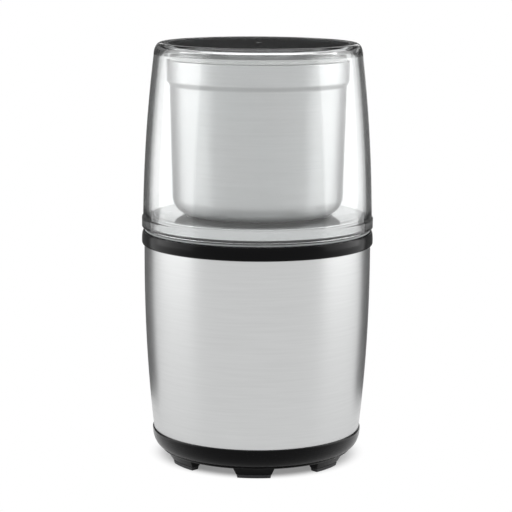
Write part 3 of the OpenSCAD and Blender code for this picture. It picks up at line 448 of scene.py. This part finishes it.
def start_outline(name, outline):
    """One vertex, extruded along (radius, height) points and back to the first, left in edit mode."""
    deselect()
    bpy.ops.mesh.primitive_plane_add(size=MM)
    piece = bpy.context.object
    set_name(piece, name)
    bpy.ops.object.mode_set(mode="EDIT")
    bpy.ops.mesh.select_all(action="SELECT")
    bpy.ops.mesh.merge(type="CENTER")
    bpy.ops.transform.translate(value=(outline[0][0] * MM, 0, outline[0][1] * MM))
    for (r0, z0), (r1, z1) in zip(outline, outline[1:] + outline[:1]):
        step = ((r1 - r0) * MM, 0, (z1 - z0) * MM)
        bpy.ops.mesh.extrude_vertices_move(TRANSFORM_OT_translate={"value": step})
    bpy.ops.mesh.select_all(action="SELECT")
    bpy.ops.mesh.remove_doubles(threshold=MERGE_WITHIN * MM)
    return piece


def turned(name, outline, steps):
    """A closed outline of (radius, height) points turned about the upright axis."""
    piece = start_outline(name, outline)
    bpy.ops.mesh.select_all(action="SELECT")
    bpy.ops.mesh.spin(steps=steps, angle=TURN, center=(0, 0, 0), axis=(0, 0, 1))
    close_up(piece)
    return piece


def evenly(low, high, steps):
    """Values from low to high, both included, in equal steps."""
    return [low + (high - low) * i / steps for i in range(steps + 1)]


def arc(r, z, across, up, start, end, steps):
    """Points along part of an ellipse round (r, z), with its half widths and its angles in degrees."""
    angles = [math.radians(a) for a in evenly(start, end, steps)]
    return [(r + across * math.cos(a), z + up * math.sin(a)) for a in angles]


def thickened(path, wall):
    """A closed outline: the path, and back along its left side, one wall away."""
    inner = []
    for i, (r, z) in enumerate(path):
        r0, z0 = path[max(i - 1, 0)]
        r1, z1 = path[min(i + 1, len(path) - 1)]
        length = math.hypot(r1 - r0, z1 - z0)
        inner.append((r - wall * (z1 - z0) / length, z + wall * (r1 - r0) / length))
    return path + inner[::-1]


def turn_about_axis(angle):
    """Turns what is selected in edit mode. With no window the operator turns the other way, hence the
    minus, and takes its pivot from center_override alone."""
    bpy.ops.transform.rotate(value=-angle, orient_axis="Z", orient_type="GLOBAL", center_override=(0, 0, 0))


def dress(piece, body, finish, node):
    """Gives a piece its finish, attaches it to the body that it moves with, and hides the node that it stands
    for.
    """
    piece.data.materials.clear()
    piece.data.materials.append(finish)
    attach(piece, body)
    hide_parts(node)


def refinish(piece, finish, chosen):
    """Gives the chosen faces a second finish."""
    piece.data.materials.append(finish)
    for face in piece.data.polygons:
        if chosen(face):
            face.material_index = 1


# ---- Housing ----
SLEEVE_FOOT_R = 49
SLEEVE_FULLNESS = 2.15          # power of the sleeve's curve
SLEEVE_WALL = 1.0
SLEEVE_ROWS = 28
BELLY_Z = 97                    # height at which the sleeve is widest


def make_sleeve():
    """A barrel of sheet steel, open at both ends."""
    z0, z1, widest = foot("housing_sleeve"), top("housing_sleeve"), reach("housing_sleeve")
    wall = []
    for z in evenly(z0, z1, SLEEVE_ROWS):
        away = abs(z - BELLY_Z) / (BELLY_Z - z0)
        wall.append((widest - (widest - SLEEVE_FOOT_R) * away ** SLEEVE_FULLNESS, z))
    piece = turned("steel_sleeve", thickened(wall, SLEEVE_WALL), FINE)
    rounded(piece, radius=0.25)
    smooth(piece)
    return piece


# ---- Deck ----
DECK_SHEET = 0.8
DECK_HOLE_R = 34.2
DECK_HOLE_ROUND = 0.3
DECK_LIP = 2                    # how far the sheet is turned down in its hole
DECK_ROLL = 0.4                 # radius of the roll over the band
GROOVE_IN = 1.9                 # from the plate's edge to the middle of its groove
GROOVE_HALF = 0.3               # half the groove's width
GROOVE_DEEP = 0.2
POLISHED_SHADED_UP = 0.9               # least upward share of the normal on the polished top, which is painted darker as shade


def make_deck_plate():
    """The plate has a hairline groove near its edge, which is rolled over into a hanging band."""
    z0, z1, r1 = foot("deck_plate"), top("deck_plate"), reach("deck_plate")
    groove_r = r1 - GROOVE_IN
    under = z1 - DECK_SHEET
    outline = ([(DECK_HOLE_R, z1 - DECK_LIP), (DECK_HOLE_R, z1 - DECK_HOLE_ROUND),
                (DECK_HOLE_R + DECK_HOLE_ROUND, z1),
                (groove_r - GROOVE_HALF, z1), (groove_r, z1 - GROOVE_DEEP), (groove_r + GROOVE_HALF, z1)]
               + arc(r1 - DECK_ROLL, z1 - DECK_ROLL, DECK_ROLL, DECK_ROLL, 90, 0, 8)
               + [(r1, z0), (r1 - DECK_SHEET, z0), (r1 - DECK_SHEET, under - DECK_SHEET),
                  (r1 - 2 * DECK_SHEET, under), (DECK_HOLE_R + DECK_SHEET, under),
                  (DECK_HOLE_R + DECK_SHEET, z1 - DECK_LIP)])
    piece = turned("steel_deck", outline, FINE)
    rounded(piece, radius=0.12)
    smooth(piece)
    return piece


def is_polished_shaded_top(face):
    """The deck plate's top, which takes the darker polished finish: painted shade."""
    return face.normal.z > POLISHED_SHADED_UP


# ---- Feet ----
FEET = 7
FOOT_SPREAD = 54                # degrees between the front foot and the feet beside it
FOOT_ARC = 25                   # degrees that a foot's upper face takes up
FOOT_LOWER_ARC = 22.2
FOOT_TOP_R = (36.8, 44.6)       # inner and outer radius where the foot leaves the base
FOOT_LOWER_R = (38, 42.4)       # and where it meets its pad
FOOT_STEPS = 16
PAD_H = 1.6
PAD_ARC = 21.8
PAD_LOWER_ARC = 21
PAD_TOP_R = (38.2, 42.6)
PAD_LOWER_R = (38.4, 42.2)


def make_blocks(name, high, low, top_r, lower_r, arc_high, arc_low, rounding):
    """A block for each foot: a section is swept through an arc, its ends are cut to a slope, and it is copied
    round the base."""
    section = [(top_r[0], high), (lower_r[0], low), (lower_r[1], low), (top_r[1], high)]
    middle_r = sum(r for r, z in section) / len(section)
    lean = math.atan2(middle_r * math.radians(arc_high - arc_low) / 2, high - low)
    first = start_outline(name, section)
    bpy.ops.mesh.edge_face_add()
    bpy.ops.mesh.spin(steps=FOOT_STEPS, angle=math.radians(arc_high), center=(0, 0, 0), axis=(0, 0, 1))
    close_up(first)
    # The sweep starts or ends at the X axis, whichever way the operator turns; this brings its middle there
    edit_all(first)
    widest = max(first.data.vertices, key=lambda v: abs(v.co.y))
    turn_about_axis(-math.copysign(math.radians(arc_high) / 2, widest.co.y))
    for side in (-1, 1):
        angle = side * math.radians(arc_high) / 2
        outwards = Vector((-math.sin(angle), math.cos(angle), 0)) * side
        normal = outwards * math.cos(lean) - Vector((0, 0, 1)) * math.sin(lean)
        point = Vector((middle_r * math.cos(angle), middle_r * math.sin(angle), high)) * MM
        bpy.ops.mesh.select_all(action="SELECT")
        bpy.ops.mesh.bisect(plane_co=point, plane_no=normal, use_fill=True, clear_outer=True)
    close_up(first)
    rounded(first, rounding, segments=3, limit=40)
    smooth(first)
    step = (360 - 2 * FOOT_SPREAD) / (FEET - 2)
    places = [-90] + [-90 + FOOT_SPREAD + i * step for i in range(FEET - 1)]
    blocks = []
    for angle in places:
        pick(first)
        bpy.ops.object.duplicate()
        block = bpy.context.object
        edit_all(block)
        turn_about_axis(math.radians(angle))
        bpy.ops.object.mode_set(mode="OBJECT")
        blocks.append(block)
    bpy.data.objects.remove(first)
    deselect()
    for block in blocks:
        block.select_set(True)
    bpy.context.view_layer.objects.active = blocks[0]
    bpy.ops.object.join()
    set_name(blocks[0], name)
    return blocks[0]


def make_feet():
    return make_blocks("moulded_feet", top("feet"), PAD_H, FOOT_TOP_R, FOOT_LOWER_R, FOOT_ARC, FOOT_LOWER_ARC,
                       rounding=0.5)


def make_pads():
    return make_blocks("rubber_pads", PAD_H, 0, PAD_TOP_R, PAD_LOWER_R, PAD_ARC, PAD_LOWER_ARC, rounding=0.2)


# ---- Bowl ----
BOWL_WALL = 0.8
BOWL_R0 = 40                    # just above the bottom corner
BOWL_R1 = 41.3                  # under the step
BOWL_CORNER = 8.5
STEP_Z0 = 177.4
STEP_Z1 = 180.4
STEP_ROWS = 14
BUSH_R = 5.5
FLANGE_H = 2.3
FLARE_R = 11.5                  # the hub's flare starts here on its flange
FLARE_ACROSS = 2.9
FLARE_UP = 2.7
NECK_R = 8


def make_bowl():
    """A drawn cup with a round bottom corner, a soft step under its mouth and a rounded rim."""
    z0, z1, mouth_r = foot("bowl_shell"), top("bowl_shell"), reach("bowl_shell")
    step = []
    for i in range(1, STEP_ROWS + 1):
        share = (1 - math.cos(math.pi * i / STEP_ROWS)) / 2
        step.append((BOWL_R1 + (mouth_r - BOWL_R1) * share, STEP_Z0 + (STEP_Z1 - STEP_Z0) * i / STEP_ROWS))
    wall = ([(BUSH_R, z0)]
            + arc(BOWL_R0 - BOWL_CORNER, z0 + BOWL_CORNER, BOWL_CORNER, BOWL_CORNER, -90, 0, 16)
            + [(BOWL_R1, STEP_Z0)] + step + [(mouth_r, z1)])
    piece = turned("steel_bowl", thickened(wall, BOWL_WALL), FINE)
    rounded(piece, radius=0.35, segments=3)
    smooth(piece)
    return piece


def make_hub():
    """The hub on the bowl's floor: a round flange that rises a little and flares up into a neck."""
    z0, z1, flange_r = foot("bowl_hub"), top("bowl_hub"), reach("bowl_hub")
    flange_z = z0 + FLANGE_H
    rise = 0.2
    outline = ([(BUSH_R, z0), (flange_r, z0), (flange_r, flange_z), (FLARE_R, flange_z + rise)]
               + arc(FLARE_R, flange_z + FLARE_ACROSS, FLARE_ACROSS, FLARE_UP, 262, 190, 10)
               + [(NECK_R, z1), (BUSH_R, z1)])
    piece = turned("blade_hub", outline, MEDIUM)
    rounded(piece, radius=0.4, segments=3)
    smooth(piece)
    return piece


# ---- Lid ----
LID_WALL = 2.6
LID_TOP_H = 2.5                 # from the lid's top to its ceiling
LID_SHOULDER_R = 48.8
LID_SHOULDER_ROUND = 3.5
LID_CURVE_Z0 = 107              # the wall leans in between these heights
LID_CURVE_Z1 = 191.8
LID_IN_Z1 = 190.5               # height at which the inner wall turns in to the ceiling
LID_IN_CORNER = 3
LID_ROWS = 16
SKIRT_R = 53.1
SKIRT_ROOM = 0.55               # between the skirt and the deck plate
SKIRT_STEP = (7.6, 9)           # the inside steps in from the skirt to the wall this far over the lid's foot
LEDGE_Z = 111.3                 # underside of the bead
LEDGE_RISE = 0.05
BEAD_OUT = 0.5                  # how far the bead stands out over the wall's foot
BEAD_LOW = 0.6                  # it is widest from this far over its underside
BEAD_HIGH = 7.4                 # to this far over the lid's foot
BEAD_UPPER = (0.6, 0.9)         # width and height of its upper round
WALL_LOW = 8.6                  # where the wall starts, over the lid's foot
HIGHLIGHT_LINE_Z0 = 109.9                # the skirt has a pale line, a painted highlight, between these heights
HIGHLIGHT_LINE_Z1 = 110.6
HIGHLIGHT_LINE_SKIN = 0.1                # only faces this near the skirt's outside take the painted highlight
SMOKE_R = 42                    # the disc is smoked inside this radius
SMOKED_UP = 0.7                 # least upward share of the normal on the smoked face
PIP_R = 1.1                     # the mark of the mould's gate in its middle
PIP_UP = 0.1                    # the pip stands this far over the disc
PIP_DEEP = 0.3                  # and its dome starts this far under the disc's face
PIP_GROOVE = 0.4                # width and depth of the ring round it
DISC_ROUND = 0.5
RIB_R0 = 38.6                   # rib that presses on the seal
RIB_R1 = 41.2
RIB_ROOM = 0.15
FIT = 0.05                      # room round the disc, all the way round
SEAL_R0 = 38.5
SEAL_GROOVE_R = 0.45
SEAL_GROOVE_IN = 1.4            # from the seal's top and its foot
WITHIN = 0.01                   # keeps the bead inside the lid's own reach


def make_lid():
    """One thick clear shell: a skirt that goes down in the collar, a bead over it, a wall that leans in, a
    round shoulder, and a recess in the top for the smoked disc."""
    z0, z1 = foot("lid_dome"), top("lid_dome")
    foot_r = reach("lid_dome") - BEAD_OUT - WITHIN
    skirt_in = reach("deck_plate") + SKIRT_ROOM
    recess_r = reach("lid_top_panel") + FIT
    recess_z = foot("lid_top_panel") - FIT
    seat_z = top("lid_seal") + RIB_ROOM
    ceiling = z1 - LID_TOP_H

    def wall_at(z):
        lean = ((z - LID_CURVE_Z0) / (LID_CURVE_Z1 - LID_CURVE_Z0)) ** 2
        return foot_r - (foot_r - LID_SHOULDER_R) * lean

    across, up = BEAD_UPPER
    bead = ([(foot_r, LEDGE_Z + LEDGE_RISE)]
            + arc(foot_r, LEDGE_Z + BEAD_LOW, BEAD_OUT, BEAD_OUT, -60, 0, 4)
            + arc(foot_r + BEAD_OUT - across, z0 + BEAD_HIGH, across, up, 0, 60, 4))
    outer = ([(skirt_in, z0), (SKIRT_R, z0), (SKIRT_R, HIGHLIGHT_LINE_Z0), (SKIRT_R, HIGHLIGHT_LINE_Z1), (SKIRT_R, LEDGE_Z)]
             + bead + [(wall_at(z), z) for z in evenly(z0 + WALL_LOW, LID_CURVE_Z1, LID_ROWS)]
             + arc(LID_SHOULDER_R - LID_SHOULDER_ROUND, LID_CURVE_Z1,
                   LID_SHOULDER_ROUND, z1 - LID_CURVE_Z1, 8, 90, 14)
             + [(recess_r, recess_z), (0, recess_z)])
    step_low, step_high = SKIRT_STEP
    inner_r = wall_at(LID_IN_Z1) - LID_WALL
    inner_wall = [(wall_at(z) - LID_WALL, z) for z in evenly(z0 + step_high, LID_IN_Z1, LID_ROWS)]
    inner = ([(0, ceiling), (RIB_R0, ceiling), (RIB_R0, seat_z), (RIB_R1, seat_z), (RIB_R1, ceiling)]
             + arc(inner_r - LID_IN_CORNER, LID_IN_Z1, LID_IN_CORNER, ceiling - LID_IN_Z1, 90, 10, 10)
             + inner_wall[::-1] + [(skirt_in, z0 + step_low)])
    piece = turned("clear_cover", outer + inner, FINE)
    rounded(piece, radius=0.2)
    smooth(piece)
    return piece


def make_lid_disc():
    """The disc let into the lid, with the pip and the ring mark of its mould's gate in the middle."""
    z0, z1, r1 = foot("lid_top_panel"), top("lid_top_panel") - PIP_UP, reach("lid_top_panel")
    ring_r = PIP_R + PIP_GROOVE
    outline = ([(0, z0), (r1, z0)]
               + arc(r1 - DISC_ROUND, z1 - DISC_ROUND, DISC_ROUND, DISC_ROUND, 0, 90, 5)
               + [(SMOKE_R, z1), (ring_r, z1), (ring_r, z1 - PIP_GROOVE), (PIP_R, z1 - PIP_GROOVE)]
               + arc(0, z1 - PIP_DEEP, PIP_R, PIP_DEEP + PIP_UP, 20, 90, 5))
    piece = turned("smoked_disc", outline, FINE)
    rounded(piece, radius=0.12)
    smooth(piece)
    return piece


def is_smoked(face):
    """The smoke is in the disc's upper face. Its edge and the pip are clear."""
    return face.normal.z > SMOKED_UP and PIP_R * MM < face.center.xy.length < SMOKE_R * MM


def is_painted_highlight_line(face):
    """A line round the skirt's outside, under the bead, where a highlight is painted."""
    outside = face.center.xy.length > (SKIRT_R - HIGHLIGHT_LINE_SKIN) * MM
    return outside and HIGHLIGHT_LINE_Z0 * MM < face.center.z < HIGHLIGHT_LINE_Z1 * MM


def make_seal():
    """The ring seal in the bowl's mouth, with two grooves round its outside."""
    z0, z1, r1 = foot("lid_seal"), top("lid_seal"), reach("lid_seal")
    grooves = []
    for z in (z0 + SEAL_GROOVE_IN, z1 - SEAL_GROOVE_IN):
        grooves += arc(r1, z, SEAL_GROOVE_R, SEAL_GROOVE_R, 270, 90, 6)
    outline = [(SEAL_R0, z0), (r1, z0)] + grooves + [(r1, z1), (SEAL_R0, z1)]
    piece = turned("silicone_seal", outline, MEDIUM)
    rounded(piece, radius=0.15)
    smooth(piece)
    return piece


# ---- Lid switch ----
SPRING_WIRE_R = 0.35
SPRING_WIRE_SIDES = 10
SPRING_TURNS = 3
SPRING_STEPS = 28               # in each turn


def make_plunger_spring():
    """Turns of wire round the plunger's stem, under its flange. It is swept up its own upright axis and
    then put in place."""
    low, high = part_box("plunger_spring")
    coil_r = (high.x - low.x) / 2 / MM - SPRING_WIRE_R
    deselect()
    bpy.ops.mesh.primitive_circle_add(vertices=SPRING_WIRE_SIDES, radius=SPRING_WIRE_R * MM)
    piece = bpy.context.object
    set_name(piece, "switch_spring")
    edit_all(piece)
    bpy.ops.transform.rotate(value=math.radians(90), orient_axis="X", orient_type="GLOBAL",
                             center_override=(0, 0, 0))
    bpy.ops.transform.translate(value=(coil_r * MM, 0, SPRING_WIRE_R * MM))
    climb = (high.z - low.z - 2 * SPRING_WIRE_R * MM) / SPRING_TURNS
    apply_modifier(piece, "SCREW", iterations=SPRING_TURNS, screw_offset=climb, steps=SPRING_STEPS,
                   render_steps=SPRING_STEPS)
    edit_all(piece)
    bpy.ops.mesh.fill_holes(sides=0)
    bpy.ops.mesh.select_all(action="SELECT")
    bpy.ops.transform.translate(value=((low.x + high.x) / 2, (low.y + high.y) / 2, low.z))
    close_up(piece)
    smooth(piece)
    return piece


# ---- Studio, in metres ----
WHITE = (1, 1, 1, 1)
ROOM_LEVEL = 0.75               # what the white room adds from every side
LAMPS_AIM = 0.11                # height that the lamps face
FLOOR_SIZE = 8
CARD_STEPS = 360                # round the whole circle that a card is cut from
SHADE_BACK = 0.008              # the floor's shadow lies this far behind the grinder's middle
SEEN_LIFT = (0.042, 0.053, 0.25)        # the floor rises to white between these radii, from this share of it
MIRRORED_LIFT = (0.053, 0.12, 0.1)      # the same in reflections, where the shadow is wider


def sees_background(tree):
    """1 for rays that show the background: from the camera, in a reflection, or through something clear."""
    path = add_node(tree, "ShaderNodeLightPath")
    direct = add_node(tree, "ShaderNodeMath",
                      {0: path.outputs["Is Camera Ray"], 1: path.outputs["Is Glossy Ray"]},
                      operation="MAXIMUM")
    either = add_node(tree, "ShaderNodeMath",
                      {0: direct.outputs["Value"], 1: path.outputs["Is Transmission Ray"]},
                      operation="MAXIMUM")
    return either.outputs["Value"]


def add_world():
    world = bpy.data.worlds.new("white_room")
    bpy.context.scene.world = world
    tree = clear_tree(world)
    room = add_node(tree, "ShaderNodeBackground", {"Color": WHITE, "Strength": ROOM_LEVEL})
    white = add_node(tree, "ShaderNodeBackground", {"Color": WHITE, "Strength": 1})
    mixed = add_node(tree, "ShaderNodeMixShader", {0: sees_background(tree), 1: room.outputs["Background"],
                                                   2: white.outputs["Background"]})
    add_node(tree, "ShaderNodeOutputWorld", {"Surface": mixed.outputs["Shader"]})


def add_floor():
    """A plain pale floor that goes over into the white background and keeps the grinder's shadow."""
    deselect()
    bpy.ops.mesh.primitive_plane_add(size=FLOOR_SIZE)
    floor = bpy.context.object
    floor.name = "floor"
    material = bpy.data.materials.new("studio_floor")
    tree = clear_tree(material)
    matt = add_node(tree, "ShaderNodeBsdfDiffuse", {"Color": linear("F2F2F2")})
    glow = add_node(tree, "ShaderNodeEmission", {"Color": WHITE, "Strength": 1})
    place = add_node(tree, "ShaderNodeTexCoord")
    out = add_node(tree, "ShaderNodeVectorMath", {0: place.outputs["Object"], 1: (0, SHADE_BACK, 0)},
                   operation="DISTANCE")
    shares = []
    for start, end, least in (SEEN_LIFT, MIRRORED_LIFT):
        share = add_node(tree, "ShaderNodeMapRange",
                         {"Value": out.outputs["Value"], "From Min": start, "From Max": end,
                          "To Min": least, "To Max": 1}, interpolation_type="SMOOTHSTEP")
        shares.append(share.outputs["Result"])
    seen, mirrored = shares
    path = add_node(tree, "ShaderNodeLightPath")
    # A Mix node's numbers are its sockets 2 and 3
    share = add_node(tree, "ShaderNodeMix", {0: path.outputs["Is Camera Ray"], 2: mirrored, 3: seen})
    lift = add_node(tree, "ShaderNodeMath", {0: sees_background(tree), 1: share.outputs[0]},
                    operation="MULTIPLY")
    mixed = add_node(tree, "ShaderNodeMixShader", {0: lift.outputs["Value"], 1: matt.outputs["BSDF"],
                                                   2: glow.outputs["Emission"]})
    add_node(tree, "ShaderNodeOutputMaterial", {"Surface": mixed.outputs["Shader"]})
    floor.data.materials.append(material)


def add_softbox(name, bearing, out, up, width, height, level):
    """A soft lamp of even brightness that faces the grinder. Bearings are in degrees from the front, to the
    right. The energy grows with the lamp's face, so that level alone says how bright the face is."""
    data = bpy.data.lights.new(name, "AREA")
    data.shape = "RECTANGLE"
    data.size = width
    data.size_y = height
    data.energy = level * math.pi * width * height
    lamp = bpy.data.objects.new(name, data)
    bpy.context.collection.objects.link(lamp)
    turn = math.radians(bearing)
    lamp.location = (out * math.sin(turn), -out * math.cos(turn), up)
    lamp.rotation_euler = (Vector((0, 0, LAMPS_AIM)) - lamp.location).to_track_quat("-Z", "Y").to_euler()


def add_card(name, bearing, half, out, low, high, grey, faces):
    """A plain matt card of one even grey, curved round the grinder. It reaches half degrees to each side of
    its bearing. The camera doesn't see it, and it takes no light from the grinder. Reflections show it, and
    so does clear plastic up to that number of faces: it greys the lid's edges, and is not in the way of a
    look through the lid."""
    deselect()
    bpy.ops.mesh.primitive_circle_add(vertices=CARD_STEPS, radius=out, location=(0, 0, low))
    card = bpy.context.object
    card.name = name
    edit_all(card)
    bpy.ops.mesh.extrude_region_move(TRANSFORM_OT_translate={"value": (0, 0, high - low)})
    bpy.ops.mesh.select_all(action="DESELECT")
    bpy.ops.object.mode_set(mode="OBJECT")
    middle = Vector((math.sin(math.radians(bearing)), -math.cos(math.radians(bearing))))
    for face in card.data.polygons:
        face.select = face.center.xy.angle(middle) > math.radians(half)
    bpy.ops.object.mode_set(mode="EDIT")
    bpy.ops.mesh.delete(type="FACE")
    bpy.ops.object.mode_set(mode="OBJECT")
    material = bpy.data.materials.new(name)
    tree = clear_tree(material)
    path = add_node(tree, "ShaderNodeLightPath")
    # A mirror behind the clear wall is seen through two faces more, which don't count
    through = add_node(tree, "ShaderNodeMath",
                       {0: path.outputs["Glossy Depth"], 1: -2, 2: path.outputs["Transmission Depth"]},
                       operation="MULTIPLY_ADD")
    hidden = add_node(tree, "ShaderNodeMath", {0: through.outputs["Value"], 1: faces + 0.5},
                      operation="GREATER_THAN")
    matt = add_node(tree, "ShaderNodeBsdfDiffuse", {"Color": linear(grey)})
    gone = add_node(tree, "ShaderNodeBsdfTransparent")
    mixed = add_node(tree, "ShaderNodeMixShader", {0: hidden.outputs["Value"], 1: matt.outputs["BSDF"],
                                                   2: gone.outputs["BSDF"]})
    add_node(tree, "ShaderNodeOutputMaterial", {"Surface": mixed.outputs["Shader"]})
    card.data.materials.append(material)
    card.visible_camera = False
    card.visible_diffuse = False
    card.visible_shadow = False


def add_studio():
    add_world()
    add_floor()
    add_softbox("left_softbox", bearing=-88, out=0.85, up=0.38, width=0.85, height=1.0, level=1.45)
    add_softbox("right_softbox", bearing=95, out=0.85, up=0.38, width=0.85, height=1.0, level=1.54)
    add_softbox("top_softbox", bearing=0, out=0.15, up=1.1, width=0.9, height=0.9, level=1.3)
    add_card("left_card", bearing=-128, half=20, out=0.13, low=0.001, high=0.36, grey="6E6E6E", faces=2)
    add_card("right_card", bearing=128, half=17, out=0.13, low=0.001, high=0.36, grey="6E6E6E", faces=2)
    add_card("back_card", bearing=180, half=30, out=0.6, low=0.19, high=0.262, grey="303030", faces=0)


# ---- The whole grinder ----
add_camera()
add_studio()

clear = clear_lid()
finishes = {
    "sleeve_steel": sleeve_steel(), "bowl_steel": bowl_steel(), "deck_steel": deck_steel(),
    "blade_steel": blade_steel(), "bright_steel": bright_steel(), "zinc_steel": zinc_steel(),
    "bronze": bronze(), "copper_wire": copper_wire(), "copper_bar": copper_bar(), "core_iron": core_iron(),
    "black_gloss": black_gloss(), "black_base": black_base(), "black_satin": black_satin(),
    "lid_panel": smoked_face(), "white_plastic": white_plastic(), "blue_case": blue_case(),
    "black_rubber": black_rubber(), "wire_sleeve": wire_sleeve(), "white_silicone": white_silicone(),
    "carbon": carbon(), "clear_lid": clear,
}
for part in frame["record"]["subparts"]:
    node = frame["nodes"][part["node"]]
    for material_slot in node.material_slots:
        material_slot.material = finishes[part["material_slot"]]

dress(make_sleeve(), "base", finishes["sleeve_steel"], "housing_sleeve")
deck_plate = make_deck_plate()
dress(deck_plate, "base", finishes["deck_steel"], "deck_plate")
# The polished top is painted darker than the band, as shade
refinish(deck_plate, deck_mirror_painted_shade(), is_polished_shaded_top)
dress(make_feet(), "base", finishes["black_base"], "feet")
dress(make_pads(), "base", finishes["black_rubber"], "foot_pads")
dress(make_bowl(), "bowl", finishes["bowl_steel"], "bowl_shell")
dress(make_hub(), "bowl", finishes["bright_steel"], "bowl_hub")
lid = make_lid()
dress(lid, "lid", clear, "lid_dome")
# A pale line painted round the skirt as a highlight
refinish(lid, skirt_painted_highlight(), is_painted_highlight_line)
disc = make_lid_disc()
dress(disc, "lid", clear, "lid_top_panel")
refinish(disc, finishes["lid_panel"], is_smoked)
dress(make_seal(), "lid_seal", finishes["white_silicone"], "lid_seal")
spring = make_plunger_spring()
dress(spring, "base", finishes["bright_steel"], "plunger_spring")
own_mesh(spring)

bpy.context.scene.view_settings.view_transform = "Standard"
